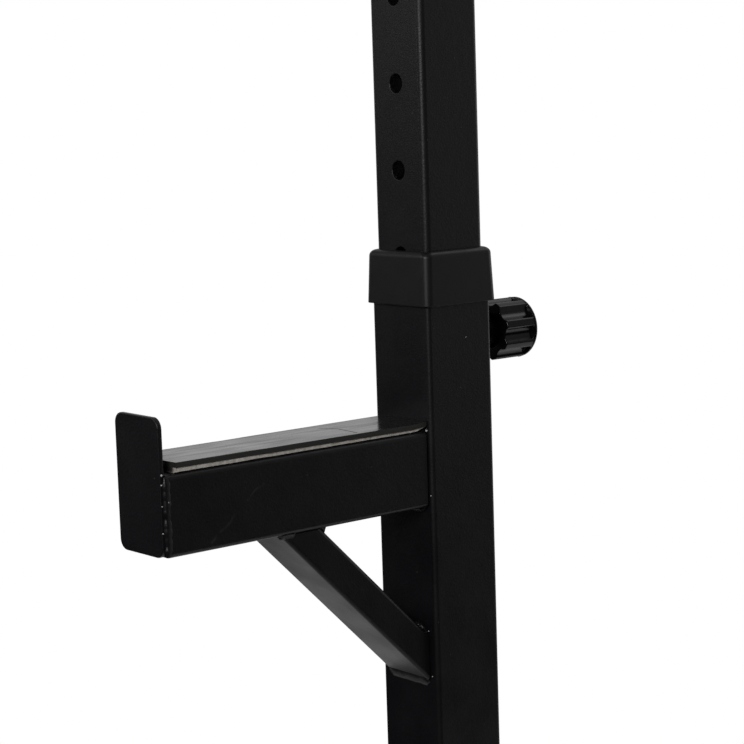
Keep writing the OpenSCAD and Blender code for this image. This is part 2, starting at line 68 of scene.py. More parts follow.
# A local Z axis laid along world +Y, and along world +X
ALONG_Y = Matrix(((1, 0, 0, 0), (0, 0, 1, 0), (0, -1, 0, 0), (0, 0, 0, 1)))
ALONG_X = Matrix(((0, 0, 1, 0), (1, 0, 0, 0), (0, 1, 0, 0), (0, 0, 0, 1)))


class Body(Enum):
    """The moving bodies of the stand, by their names in the frame."""

    STAND = "stand"
    SLIDING_POST = "sliding_post"
    PIN = "pin"
    KNOB = "knob"


class Slot(Enum):
    """The material slots of the part's record."""

    POWDER_COAT = "black_powder_coat"
    MOULDED = "black_moulded_plastic"
    GLOSS = "black_gloss_plastic"
    RUBBER = "black_rubber"
    STRIP = "black_strip_rubber"
    TAPE = "foam_tape"
    ZINC = "zinc_plated_steel"


def linear(code: str) -> tuple[float, float, float, float]:
    """Turns an sRGB hex colour into the linear values that Blender takes.

    Args:
        code: The colour as six hex digits.

    Returns:
        Linear red, green, blue and a full alpha.
    """
    parts = [int(code[i : i + 2], 16) / 255 for i in (0, 2, 4)]
    return (*(c / 12.92 if c <= 0.04045 else ((c + 0.055) / 1.055) ** 2.4 for c in parts), 1.0)


def add_node(
    tree: Tree, kind: str, settings: dict[str | int, Any] | None = None,
    links: dict[str | int, Socket] | None = None,
) -> bpy.types.Node:
    """Adds one node with its settings and links.

    Args:
        tree: The node tree to add to.
        kind: Blender's name of the node type.
        settings: Values by property name, or by the name or number of an input.
        links: Sockets that feed the named or numbered inputs.

    Returns:
        The new node.
    """
    made = tree.nodes.new(kind)
    for key, value in (settings or {}).items():
        if isinstance(key, str) and hasattr(made, key):
            setattr(made, key, value)
        else:
            made.inputs[key].default_value = value
    for key, socket in (links or {}).items():
        tree.links.new(socket, made.inputs[key])
    return made


# Finishes


@dataclass(frozen=True)
class Stroke:
    """A straight mark on a surface between two points, all in millimetres."""

    start: Triple
    end: Triple
    width: float

    def mask(self, tree: Tree, place: Socket) -> Socket:
        """Adds nodes that give 1 on the mark and 0 off it, with soft edges.

        Args:
            tree: The material's node tree.
            place: The coordinates, in metres.

        Returns:
            The mark's share of the surface.
        """
        start, end = Vector(self.start) * MM, Vector(self.end) * MM
        along, length = (end - start).normalized(), (end - start).length
        offset = add_node(tree, "ShaderNodeVectorMath",
                          {"operation": "SUBTRACT", 1: start}, {0: place}).outputs[0]
        run = add_node(tree, "ShaderNodeVectorMath",
                       {"operation": "DOT_PRODUCT", 1: along}, {0: offset}).outputs["Value"]
        held = add_node(tree, "ShaderNodeMapRange", {1: 0.0, 2: length, 3: 0.0, 4: length},
                        {0: run}).outputs[0]
        nearest = add_node(tree, "ShaderNodeVectorMath", {"operation": "SCALE", 0: along},
                           {"Scale": held}).outputs[0]
        away = add_node(tree, "ShaderNodeVectorMath",
                        {"operation": "DISTANCE"}, {0: offset, 1: nearest}).outputs["Value"]
        half = self.width * MM / 2
        return add_node(tree, "ShaderNodeMapRange",
                        {"interpolation_type": "SMOOTHSTEP", 1: 0.2 * half, 2: half, 3: 1.0,
                         4: 0.0}, {0: away}).outputs[0]


@dataclass(frozen=True)
class Finish:
    """A surface as it would be ordered, with its detail in real millimetres."""

    name: str
    slot: Slot
    colour: str
    second_colour: str
    patch_mm: float
    roughness: float
    roughness_spread: float
    grain_mm: float
    grain_depth_mm: float
    metallic: float = 0.0
    ior: float = 1.5
    stretch: Triple = (1.0, 1.0, 1.0)
    strokes: tuple[Stroke, ...] = ()
    stroke_waver_mm: float = 1.5
    stroke_bend_mm: float = 12.0

    def material(self) -> bpy.types.Material:
        """Makes the material once and gives it back each time.

        Returns:
            The Blender material of this finish.
        """
        found = bpy.data.materials.get(self.name)
        if found:
            return found
        made = bpy.data.materials.new(self.name)
        made.use_nodes = True
        tree = made.node_tree
        tree.nodes.clear()
        place = add_node(tree, "ShaderNodeTexCoord").outputs["Object"]
        shader = add_node(tree, "ShaderNodeBsdfPrincipled",
                          {"Metallic": self.metallic, "IOR": self.ior})
        self.dress(tree, shader, place)
        add_node(tree, "ShaderNodeOutputMaterial", links={"Surface": shader.outputs[0]})
        return made

    def pattern(self, tree: Tree, place: Socket, size_mm: float, detail: float = 2.0) -> Socket:
        """Adds a noise whose bumps have a real size.

        Args:
            tree: The material's node tree.
            place: The coordinates, in metres.
            size_mm: The width of one bump.
            detail: How many finer layers lie on it.

        Returns:
            The noise's value, about 0.5 on average.
        """
        laid = add_node(tree, "ShaderNodeMapping", {"Scale": self.stretch}, {0: place})
        return add_node(tree, "ShaderNodeTexNoise",
                        {"Scale": 1 / (size_mm * MM), "Detail": detail},
                        {"Vector": laid.outputs[0]}).outputs[0]

    def dress(self, tree: Tree, shader: bpy.types.Node, place: Socket) -> None:
        """Feeds the shader with mottled colour, uneven gloss and a fine grain.

        Args:
            tree: The material's node tree.
            shader: The surface shader.
            place: The coordinates, in metres.
        """
        # The noise lies mostly near 0.5, so the middle of its range is spread over the whole
        patches = add_node(tree, "ShaderNodeMapRange", {1: 0.35, 2: 0.65},
                           {0: self.pattern(tree, place, self.patch_mm)}).outputs[0]
        colour = add_node(tree, "ShaderNodeMix",
                          {"data_type": "RGBA", 6: linear(self.colour),
                           7: linear(self.second_colour)}, {0: patches}).outputs[2]
        tree.links.new(self.marks(tree, colour, place), shader.inputs["Base Color"])
        tree.links.new(self.gloss(tree, place), shader.inputs["Roughness"])
        grain = self.pattern(tree, place, self.grain_mm)
        bump = add_node(tree, "ShaderNodeBump",
                        {"Strength": 1.0, "Distance": self.grain_depth_mm * MM},
                        {"Height": self.relief(tree, grain, place)})
        tree.links.new(bump.outputs[0], shader.inputs["Normal"])

    def gloss(self, tree: Tree, place: Socket) -> Socket:
        """Gives the uneven roughness.

        Args:
            tree: The material's node tree.
            place: The coordinates, in metres.

        Returns:
            The roughness at each place.
        """
        return add_node(tree, "ShaderNodeMapRange",
                        {1: 0.3, 2: 0.7, 3: self.roughness - self.roughness_spread,
                         4: self.roughness + self.roughness_spread},
                        {0: self.pattern(tree, place, 0.3 * self.patch_mm)}).outputs[0]

    def stroke_share(self, tree: Tree, place: Socket) -> Socket:
        """Gathers the finish's strokes, a little wavy, into one share of the surface.

        Args:
            tree: The material's node tree.
            place: The coordinates, in metres.

        Returns:
            1 on a stroke and 0 off it.
        """
        bent = add_node(tree, "ShaderNodeTexNoise",
                        {"Scale": 1 / (self.stroke_bend_mm * MM), "Detail": 2.0},
                        {"Vector": place}).outputs["Color"]
        reach = self.stroke_waver_mm * MM
        moved = add_node(tree, "ShaderNodeVectorMath",
                         {"operation": "MULTIPLY_ADD", 1: (reach, reach, reach)},
                         {0: bent, 2: place}).outputs[0]
        centred = add_node(tree, "ShaderNodeVectorMath",
                           {"operation": "SUBTRACT", 1: (reach / 2, reach / 2, reach / 2)},
                           {0: moved}).outputs[0]
        share = self.strokes[0].mask(tree, centred)
        for stroke in self.strokes[1:]:
            share = add_node(tree, "ShaderNodeMath", {"operation": "MAXIMUM"},
                             {0: share, 1: stroke.mask(tree, centred)}).outputs[0]
        return share

    def marks(self, tree: Tree, colour: Socket, place: Socket) -> Socket:
        """Gives the colour back unmarked. Finishes with specks, scuffs or painted shade and light add
        them here.
        """
        return colour

    def relief(self, tree: Tree, grain: Socket, place: Socket) -> Socket:
        """Gives the grain back alone. Finishes with a second, wider relief add it here."""
        return grain


@dataclass(frozen=True)
class PowderCoat(Finish):
    """Polyester powder coat baked on mild steel: satin black, finely pebbled, never a mirror.

    Its pebbles break the light on the tubes' corners into specks. A little dust and a few
    nibs in the coat show as tiny pale dots.
    """

    speck_mm: float = 0.5
    speck_spacing_mm: float = 13.0
    speck_colour: str = "5c5c5e"
    speck_strength: float = 0.8
    peel_mm: float = 6.0
    peel_share: float = 0.9

    def marks(self, tree: Tree, colour: Socket, place: Socket) -> Socket:
        """Adds the nibs and dust, one about every few centimetres.

        Args:
            tree: The material's node tree.
            colour: The colour so far.
            place: The coordinates, in metres.

        Returns:
            The speckled colour.
        """
        dots = add_node(tree, "ShaderNodeTexVoronoi",
                        {"Scale": 1 / (self.speck_spacing_mm * MM)}, {"Vector": place})
        reach = self.speck_mm / self.speck_spacing_mm
        dot = add_node(tree, "ShaderNodeMapRange",
                       {1: 0.4 * reach, 2: reach, 3: self.speck_strength, 4: 0.0},
                       {0: dots.outputs["Distance"]}).outputs[0]
        return add_node(tree, "ShaderNodeMix", {"data_type": "RGBA", 7: linear(self.speck_colour)},
                        {0: dot, 6: colour}).outputs[2]

    def relief(self, tree: Tree, grain: Socket, place: Socket) -> Socket:
        """Lays the fine pebbles on the slow waves of orange peel.

        Args:
            tree: The material's node tree.
            grain: The fine grain's height.
            place: The coordinates, in metres.

        Returns:
            The height of both.
        """
        peel = self.pattern(tree, place, self.peel_mm, 1.0)
        return add_node(tree, "ShaderNodeMath", {"operation": "MULTIPLY_ADD", 1: self.peel_share},
                        {0: peel, 2: grain}).outputs[0]


@dataclass(frozen=True)
class ScuffedPowderCoat(PowderCoat):
    """The same coat where a bar has rubbed it: faint grey strokes across a face."""

    scuff_colour: str = "3c3c3f"
    scuff_strength: float = 0.5
    scuff_break_mm: float = 6.0

    def marks(self, tree: Tree, colour: Socket, place: Socket) -> Socket:
        """Adds the rubbed strokes over the specks.

        Args:
            tree: The material's node tree.
            colour: The colour so far.
            place: The coordinates, in metres.

        Returns:
            The rubbed colour.
        """
        specked = super().marks(tree, colour, place)
        broken = add_node(tree, "ShaderNodeMapRange",
                          {1: 0.3, 2: 0.6, 3: 0.3 * self.scuff_strength, 4: self.scuff_strength},
                          {0: self.pattern(tree, place, self.scuff_break_mm)}).outputs[0]
        share = add_node(tree, "ShaderNodeMath", {"operation": "MULTIPLY"},
                         {0: self.stroke_share(tree, place), 1: broken}).outputs[0]
        return add_node(tree, "ShaderNodeMix", {"data_type": "RGBA", 7: linear(self.scuff_colour)},
                        {0: share, 6: specked}).outputs[2]


@dataclass(frozen=True)
class GlazedRubber(Finish):
    """Rolled rubber strip: a glazed, slightly wavy top, dull cut sides, and a crease across it."""

    side_roughness: float = 0.55
    # The paler colour of the cut sides is painted light
    side_painted_light_colour: str = "343331"
    wave_mm: float = 14.0
    wave_share: float = 5.0
    crease_share: float = 6.0

    def turned_up(self, tree: Tree) -> Socket:
        """Gives 1 on faces that look up and 0 on the cut sides.

        Args:
            tree: The material's node tree.

        Returns:
            The share of each face that looks up.
        """
        facing = add_node(tree, "ShaderNodeNewGeometry").outputs["Normal"]
        rise = add_node(tree, "ShaderNodeSeparateXYZ", links={0: facing}).outputs["Z"]
        return add_node(tree, "ShaderNodeMapRange", {1: 0.5, 2: 0.9}, {0: rise}).outputs[0]

    def gloss(self, tree: Tree, place: Socket) -> Socket:
        """Keeps the glaze to the faces that look up: the cut sides and the crease are dull.

        Args:
            tree: The material's node tree.
            place: The coordinates, in metres.

        Returns:
            The roughness at each place.
        """
        whole = add_node(tree, "ShaderNodeMath", {"operation": "SUBTRACT", 0: 1.0},
                         {1: self.stroke_share(tree, place)}).outputs[0]
        glazed = add_node(tree, "ShaderNodeMath", {"operation": "MULTIPLY"},
                          {0: self.turned_up(tree), 1: whole}).outputs[0]
        return add_node(tree, "ShaderNodeMix", {2: self.side_roughness},
                        {0: glazed, 3: super().gloss(tree, place)}).outputs[0]

    def marks(self, tree: Tree, colour: Socket, place: Socket) -> Socket:
        """Paints the cut sides paler: painted light, for the light that the sides catch.

        Args:
            tree: The material's node tree.
            colour: The colour so far.
            place: The coordinates, in metres; not used.

        Returns:
            The colour with grey sides.
        """
        # Painted light: faces that do not look up take the paler side colour
        side = add_node(tree, "ShaderNodeMath", {"operation": "SUBTRACT", 0: 1.0},
                        {1: self.turned_up(tree)}).outputs[0]
        return add_node(tree, "ShaderNodeMix", {"data_type": "RGBA", 7: linear(self.side_painted_light_colour)},
                        {0: side, 6: colour}).outputs[2]

    def relief(self, tree: Tree, grain: Socket, place: Socket) -> Socket:
        """Lays the roller's fine streaks on slow waves, and presses the crease into them.

        Args:
            tree: The material's node tree.
            grain: The fine grain's height.
            place: The coordinates, in metres.

        Returns:
            The height of all three.
        """
        waves = self.pattern(tree, place, self.wave_mm, 1.0)
        wavy = add_node(tree, "ShaderNodeMath", {"operation": "MULTIPLY_ADD", 1: self.wave_share},
                        {0: waves, 2: grain}).outputs[0]
        return add_node(tree, "ShaderNodeMath", {"operation": "MULTIPLY_ADD",
                                                 1: -self.crease_share},
                        {0: self.stroke_share(tree, place), 2: wavy}).outputs[0]


@dataclass(frozen=True)
class ShadedEndFoam(Finish):
    """Foam tape whose cut end is painted dark: painted shade, for the shade in the gap before it."""

    # The colour of the painted shade on the tape's cut end
    end_shade_colour: str = "24221f"

    def marks(self, tree: Tree, colour: Socket, place: Socket) -> Socket:
        """Paints shade on the foam where the strokes run, along its cut end."""
        return add_node(tree, "ShaderNodeMix", {"data_type": "RGBA", 7: linear(self.end_shade_colour)},
                        {0: self.stroke_share(tree, place), 6: colour}).outputs[2]


STEEL_COAT = PowderCoat(
    # Sprayed and baked powder: the eye sees a dark satin with a fine broken sheen.
    # Such a coat's pebbles are usually too fine to show here, so they are drawn 1.1 mm wide.
    name="polyester_powder_coat_black", slot=Slot.POWDER_COAT,
    colour="0f0f13", second_colour="121216", patch_mm=90.0,
    roughness=0.40, roughness_spread=0.05, grain_mm=1.1, grain_depth_mm=0.08)
ARM_COAT = ScuffedPowderCoat(
    # The arm's own coat: the same powder with two rubbed strokes on its right side
    name="polyester_powder_coat_black_rubbed", slot=Slot.POWDER_COAT,
    colour="0f0f13", second_colour="121216", patch_mm=90.0,
    roughness=0.40, roughness_spread=0.05, grain_mm=1.1, grain_depth_mm=0.08,
    stroke_waver_mm=6.0,
    strokes=(Stroke((22.5, -121.0, 759.0), (22.5, -104.0, 773.0), 2.6),
             Stroke((22.5, -96.0, 779.0), (22.5, -86.0, 787.0), 2.2)))
MOULDED_PLASTIC = Finish(
    # Injection-moulded polypropylene from a spark-eroded tool: dull, even and slightly waxy.
    # Such a tool's texture is usually too fine to show here, so it is drawn 0.5 mm wide.
    name="polypropylene_spark_eroded_black", slot=Slot.MOULDED,
    colour="141415", second_colour="171718", patch_mm=40.0,
    roughness=0.42, roughness_spread=0.04, grain_mm=0.5, grain_depth_mm=0.012)
GLOSS_PLASTIC = Finish(
    # Polished nylon moulding: deep black with clear streaks of light along each lobe
    name="nylon_polished_black", slot=Slot.GLOSS,
    colour="0b0b0c", second_colour="0e0e0f", patch_mm=12.0,
    roughness=0.20, roughness_spread=0.05, grain_mm=1.6, grain_depth_mm=0.001)
BLACK_OXIDE_SHADED = Finish(
    # Hot black oxide on a turned steel bush, drawn nearly lightless: its near-black is partly painted
    # shade, for the post's shade over the housing
    name="black_oxide_painted_shade", slot=Slot.POWDER_COAT,
    colour="0a0a0b", second_colour="0d0d0d", patch_mm=5.0,
    roughness=0.50, roughness_spread=0.06, grain_mm=0.4, grain_depth_mm=0.008, ior=1.3,
    stretch=(1.0, 4.0, 1.0))
PAD_RUBBER = GlazedRubber(
    # Calendered rubber strip with a glazed top: mirrors the room at a low angle, with fine
    # streaks along its length from the rollers and a shallow bend mark near the post
    name="calendered_rubber_glazed", slot=Slot.STRIP,
    colour="161617", second_colour="1d1d1e", patch_mm=18.0,
    roughness=0.20, roughness_spread=0.08, grain_mm=1.5, grain_depth_mm=0.025,
    stretch=(1.0, 0.12, 1.0),
    strokes=(Stroke((-12.2, -18.4, 805.3), (0.0, -13.2, 805.3), 1.5),
             Stroke((0.0, -13.2, 805.3), (18.3, -15.2, 805.3), 1.5)), stroke_waver_mm=0.5)
TAPE_FOAM = ShadedEndFoam(
    # Polyethylene foam tape with a torn edge: dull grey-beige with open cells, with painted shade on
    # its cut end
    name="polyethylene_foam_tape", slot=Slot.TAPE,
    colour="f2ece4", second_colour="d4ccc1", patch_mm=3.0,
    roughness=0.85, roughness_spread=0.05, grain_mm=0.8, grain_depth_mm=0.15,
    strokes=(Stroke((-22.0, -141.4, 801.8), (16.5, -141.4, 801.8), 9.0),), stroke_waver_mm=0.5)
SPATTER_PAINTED_GLINT = Finish(
    # Grains of weld spatter, drawn near-white: the pale colour is a painted glint on each grain
    name="weld_spatter_painted_glint", slot=Slot.POWDER_COAT,
    colour="e2e2e0", second_colour="c2c2c0", patch_mm=2.0,
    roughness=0.35, roughness_spread=0.10, grain_mm=0.5, grain_depth_mm=0.05)
SOFT_RUBBER = Finish(
    # Moulded natural rubber: flat dark grey-black that drinks light
    name="natural_rubber_moulded", slot=Slot.RUBBER,
    colour="191919", second_colour="1e1e1d", patch_mm=20.0,
    roughness=0.68, roughness_spread=0.06, grain_mm=0.9, grain_depth_mm=0.03)
PLATED_STEEL = Finish(
    # Zinc plate with a clear passivate on rolled steel: pale, slightly blue and soft in gloss
    name="zinc_plate_clear_passivate", slot=Slot.ZINC,
    colour="b4b8bd", second_colour="a3a6a8", patch_mm=6.0,
    roughness=0.33, roughness_spread=0.08, grain_mm=0.7, grain_depth_mm=0.01, metallic=1.0)


# Mesh making

# The least corner radius that a section may have, and four stops through a quarter turn
LEAST_RADIUS = 0.4
QUARTER = tuple(math.radians(a) for a in (0, 30, 60, 90))
# Degrees between two faces: edges above the first are rounded off, above the second shaded sharp
ROUNDED_ABOVE = 40
SHARP_ABOVE = 48


def round_rect(width: float, height: float, radius: float, steps: int = 8) -> list[Vector]:
    """Walks round a rectangle with rounded corners.

    Args:
        width: Size in x.
        height: Size in y.
        radius: Corner radius.
        steps: Spans in each corner.

    Returns:
        The points in the plane z = 0, anticlockwise, 4 * (steps + 1) of them.
    """
    points = []
    for quarter, (x, y) in enumerate(((1, 1), (-1, 1), (-1, -1), (1, -1))):
        for i in range(steps + 1):
            a = math.radians(90 * (quarter + i / steps))
            points.append(Vector((x * (width / 2 - radius) + radius * math.cos(a),
                                  y * (height / 2 - radius) + radius * math.sin(a), 0)))
    return points


def hexagon(flats: float) -> Callable[[float], float]:
    """Gives the outline of a hexagon as a radius for each angle.

    Args:
        flats: The distance across the flats.

    Returns:
        A function from an angle in radians to the radius there.
    """
    sector = math.pi / 3
    return lambda a: flats / 2 / math.cos((a + sector / 2) % sector - sector / 2)


class Form:
    """Points and faces of one solid, or of a group of solids, in millimetres."""

    def __init__(self) -> None:
        """Starts empty."""
        self.points: list[Vector] = []
        self.faces: list[tuple[int, ...]] = []

    def loft(self, rings: Sequence[Sequence[Vector]], looped: bool = False) -> "Form":
        """Joins rings of equal count with quads.

        Args:
            rings: The rings in order.
            looped: Whether the last ring joins the first. Otherwise both ends are closed.

        Returns:
            This form.
        """
        base, count = len(self.points), len(rings[0])
        for ring in rings:
            self.points.extend(Vector(p) for p in ring)
        for i in range(len(rings) if looped else len(rings) - 1):
            a, b = base + i * count, base + (i + 1) % len(rings) * count
            for k in range(count):
                n = (k + 1) % count
                self.faces.append((a + k, a + n, b + n, b + k))
        if not looped:
            last = base + (len(rings) - 1) * count
            self.faces.append(tuple(base + k for k in reversed(range(count))))
            self.faces.append(tuple(last + k for k in range(count)))
        return self

    def add(self, other: "Form") -> "Form":
        """Takes in another form's solids.

        Args:
            other: The form to copy from.

        Returns:
            This form.
        """
        base = len(self.points)
        self.points.extend(p.copy() for p in other.points)
        self.faces.extend(tuple(base + i for i in f) for f in other.faces)
        return self

    def put(self, matrix: Matrix) -> "Form":
        """Moves or turns every point.

        Args:
            matrix: The transform, with its distances in millimetres.

        Returns:
            This form.
        """
        self.points = [matrix @ p for p in self.points]
        return self

    def at(self, x: float, y: float, z: float) -> "Form":
        """Shifts the form and returns it."""
        return self.put(Matrix.Translation((x, y, z)))

    def mesh(self, name: str) -> bpy.types.Mesh:
        """Turns the form into a Blender mesh in metres, with its faces looking outwards.

        Args:
            name: The mesh's name.

        Returns:
            The mesh.
        """
        made = bpy.data.meshes.new(name)
        made.from_pydata([p * MM for p in self.points], [], self.faces)
        work = bmesh.new()
        work.from_mesh(made)
        bmesh.ops.recalc_face_normals(work, faces=work.faces)
        work.to_mesh(made)
        work.free()
        return made


def tube(
    width: float, height: float, radius: float, wall: float, length: float, edge: float = 0.5
) -> Form:
    """Makes a rectangular tube that stands on z = 0, with softened rims.

    Args:
        width: Outside size in x.
        height: Outside size in y.
        radius: Outside corner radius.
        wall: Wall thickness.
        length: Length along z.
        edge: Radius of the rims' edges.

    Returns:
        The tube.
    """
    rings = []
    for p in round_rect(wall, length, min(edge, 0.45 * wall), 3):
        inset, z = p.x + wall / 2, p.y + length / 2
        section = round_rect(width - 2 * inset, height - 2 * inset, max(radius - inset, LEAST_RADIUS))
        rings.append([Vector((q.x, q.y, z)) for q in section])
    return Form().loft(rings, looped=True)


def slab(
    width: float, height: float, radius: float, thickness: float, edge: float = 0.5,
    top_edge: float | None = None,
) -> Form:
    """Makes a plate with rounded corners that lies on z = 0, with softened edges.

    Args:
        width: Size in x.
        height: Size in y.
        radius: Corner radius.
        thickness: Size in z.
        edge: Radius of the edges.
        top_edge: Radius of the upper edge, where it differs.

    Returns:
        The plate.
    """
    top = edge if top_edge is None else top_edge
    stops = [(edge * (1 - math.sin(a)), edge * (1 - math.cos(a))) for a in QUARTER]
    stops += [(top * (1 - math.cos(a)), thickness - top * (1 - math.sin(a))) for a in QUARTER]
    return Form().loft([
        [Vector((q.x, q.y, z)) for q in
         round_rect(width - 2 * s, height - 2 * s, max(radius - s, LEAST_RADIUS))]
        for s, z in stops])


def spun(profile: Sequence[Stop], sides: int = 48, looped: bool = False) -> Form:
    """Turns a profile about z. A radius may be a number or a function of the angle.

    Args:
        profile: Pairs of radius and height.
        sides: Spans round the axis.
        looped: Whether the profile closes on itself, as round a bore.

    Returns:
        The turned form.
    """
    rings = []
    for radius, z in profile:
        ring = []
        for k in range(sides):
            a = 2 * math.pi * k / sides
            r = radius(a) if callable(radius) else radius
            ring.append(Vector((r * math.cos(a), r * math.sin(a), z)))
        rings.append(ring)
    return Form().loft(rings, looped)


def threaded(radius: float, pitch: float, start: float, end: float, sides: int = 32) -> Form:
    """Makes a rod with a helical thread and a chamfered tip.

    Args:
        radius: Outside radius of the thread.
        pitch: Distance between two crests.
        start: Height of the lower end.
        end: Height of the tip.
        sides: Spans round the axis.

    Returns:
        The rod.
    """
    depth = 0.6 * pitch
    count = max(2, round((end - start) / (pitch / 6)))
    profile: list[Stop] = []
    for i in range(count + 1):
        z = start + (end - start) * i / count
        tip = min(1.0, (end - z) / depth)

        def crest(a: float, z: float = z, tip: float = tip) -> float:
            """The radius of the thread's flank at an angle."""
            turn = (z / pitch - a / (2 * math.pi)) % 1
            return radius - depth * (1 - min(tip, 2 * abs(turn - 0.5)))

        profile.append((crest, z))
    return spun(profile, sides)


def prism(outline: Sequence[Pair], x0: float, x1: float) -> Form:
    """Extrudes an outline in y and z along x.

    Args:
        outline: The corners, in order.
        x0: Where it starts.
        x1: Where it ends.

    Returns:
        The prism.
    """
    return Form().loft([[Vector((x, y, z)) for y, z in outline] for x in (x0, x1)])


def nut(flats: float, bore: float, height: float) -> Form:
    """Makes a hexagon nut with chamfered corners that stands on z = 0.

    Args:
        flats: Distance across the flats.
        bore: Diameter of the hole.
        height: Height.

    Returns:
        The nut.
    """
    outline = hexagon(flats)
    cone = 0.5 * flats
    drop = 0.09 * flats

    def cut(a: float) -> float:
        """The hexagon where the chamfer's cone begins to cut it."""
        return min(outline(a), cone + 0.35 * drop)

    profile = [(bore / 2, 0.4), (bore / 2 + 0.4, 0), (0.96 * cone, 0), (cut, 0.45 * drop),
               (outline, drop), (outline, height - drop), (cut, height - 0.45 * drop),
               (0.96 * cone, height), (bore / 2 + 0.4, height), (bore / 2, height - 0.4)]
    return spun(profile, 60, looped=True)


def drill(radius: float, start: float, end: float, flare: float = 0.5) -> Form:
    """Makes a cutter along z whose ends flare, so the hole's rims come out rounded.

    Args:
        radius: Radius of the hole.
        start: Height of the first surface that it goes through.
        end: Height of the last one.
        flare: Radius of the rims' rounding.

    Returns:
        The cutter.
    """
    low = [(radius + flare * (1 - math.sin(a)), start + flare * (1 - math.cos(a)))
           for a in QUARTER]
    high = [(radius + flare * (1 - math.cos(a)), end - flare * (1 - math.sin(a)))
            for a in QUARTER]
    return spun([(radius + flare, start - 1), *low, *high, (radius + flare, end + 1)], 40)


@dataclass(frozen=True)
class Weld:
    """A hand-laid fillet weld in the corner between two faces, with overlapping ripples."""

    start: Triple
    end: Triple
    face_a: Triple
    face_b: Triple
    leg: float = 4.0
    ripple: float = 2.6
    lumps: float = 0.22
    hollow: float = 0.12
    ripple_depth: float = 0.14
    squash: float = 1.0
    run_out: float = 3.0
    lump_mm: float = 5.0
    sunk: float = 0.12

    def form(self) -> Form:
        """Sweeps the bead's section along the corner.

        Returns:
            The bead, sunk a little into both faces.
        """
        start, end = Vector(self.start), Vector(self.end)
        a, b = Vector(self.face_a).normalized(), Vector(self.face_b).normalized()
        along = (end - start).normalized()
        length = (end - start).length
        count = max(8, round(length / 0.45))
        angles = [math.radians(t) for t in (0, 12, 25, 38, 52, 65, 78, 90)]
        rings = []
        for i in range(count + 1):
            s = length * i / count
            taper = math.sqrt(max(0.12, min(1, s / self.run_out, (length - s) / self.run_out)))
            wobble = noise.noise(Vector((s / self.lump_mm, start.x + 2 * start.z, start.y)))
            scale = abs(math.sin(math.pi * s / self.ripple))
            size = self.leg * taper * (0.9 + self.ripple_depth * scale + self.lumps * wobble)
            ring = [start + along * s - 0.4 * (a + b)]
            for t in angles:
                bulge = size * (1 - self.hollow * math.sin(2 * t))
                lean = 0.3 * self.leg * taper * math.sin(2 * t)
                ring.append(start + along * (s + lean - 0.15 * self.leg)
                            + bulge * (self.squash * a * math.cos(t) + b * math.sin(t))
                            - self.sunk * (a + b))
            rings.append(ring)
        return Form().loft(rings)


def welded(beads: Sequence[Weld]) -> Form:
    """Gathers several weld beads into one form.

    Args:
        beads: The beads.

    Returns:
        The form of all of them.
    """
    made = Form()
    for bead in beads:
        made.add(bead.form())
    return made


def new_object(name: str, data: bpy.types.ID) -> bpy.types.Object:
    """Makes an object from its mesh, lamp or camera and links it to the scene."""
    obj = bpy.data.objects.new(name, data)
    bpy.context.scene.collection.objects.link(obj)
    return obj


def settle(obj: bpy.types.Object) -> None:
    """Replaces an object's mesh by what its modifiers make of it.

    Args:
        obj: The object, whose modifiers are then gone.
    """
    bpy.context.view_layer.update()
    ready = obj.evaluated_get(bpy.context.evaluated_depsgraph_get())
    obj.data = bpy.data.meshes.new_from_object(ready)
    obj.modifiers.clear()


def make_piece(
    name: str, form: Form, finish: Finish, body: Body, nodes: Sequence[str],
    holes: Form | None = None, edge: float = 0.0,
) -> bpy.types.Object:
    """Turns a form into a finished piece that rides on its body.

    Args:
        name: The piece's name.
        form: Its shape.
        finish: Its surface.
        body: The body that it rides on.
        nodes: The CAD nodes that it stands for.
        holes: Cutters to take out of it.
        edge: Radius, in millimetres, for edges that the form leaves sharp.

    Returns:
        The piece.
    """
    obj = new_object(name, form.mesh(name))
    if holes:
        cutter = new_object(name + "_cutter", holes.mesh(name + "_cutter"))
        cut = obj.modifiers.new("holes", "BOOLEAN")
        cut.object, cut.operation, cut.solver = cutter, "DIFFERENCE", "EXACT"
        settle(obj)
        bpy.data.objects.remove(cutter)
    if edge:
        soft = obj.modifiers.new("edges", "BEVEL")
        soft.width, soft.segments, soft.limit_method = edge * MM, 3, "ANGLE"
        soft.angle_limit, soft.use_clamp_overlap = math.radians(ROUNDED_ABOVE), True
        settle(obj)
    obj.data.shade_smooth()
    obj.data.set_sharp_from_angle(angle=math.radians(SHARP_ABOVE))
    even = obj.modifiers.new("even_normals", "WEIGHTED_NORMAL")
    even.keep_sharp, even.weight = True, 80
    settle(obj)
    obj.data.name = name
    obj.data.materials.clear()
    obj.data.materials.append(finish.material())
    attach(obj, body.value)
    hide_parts(*nodes)
    LOG.info("%s: %d faces on %s, %s", name, len(obj.data.polygons), body.value, finish.name)
    return obj


# Sub-assemblies


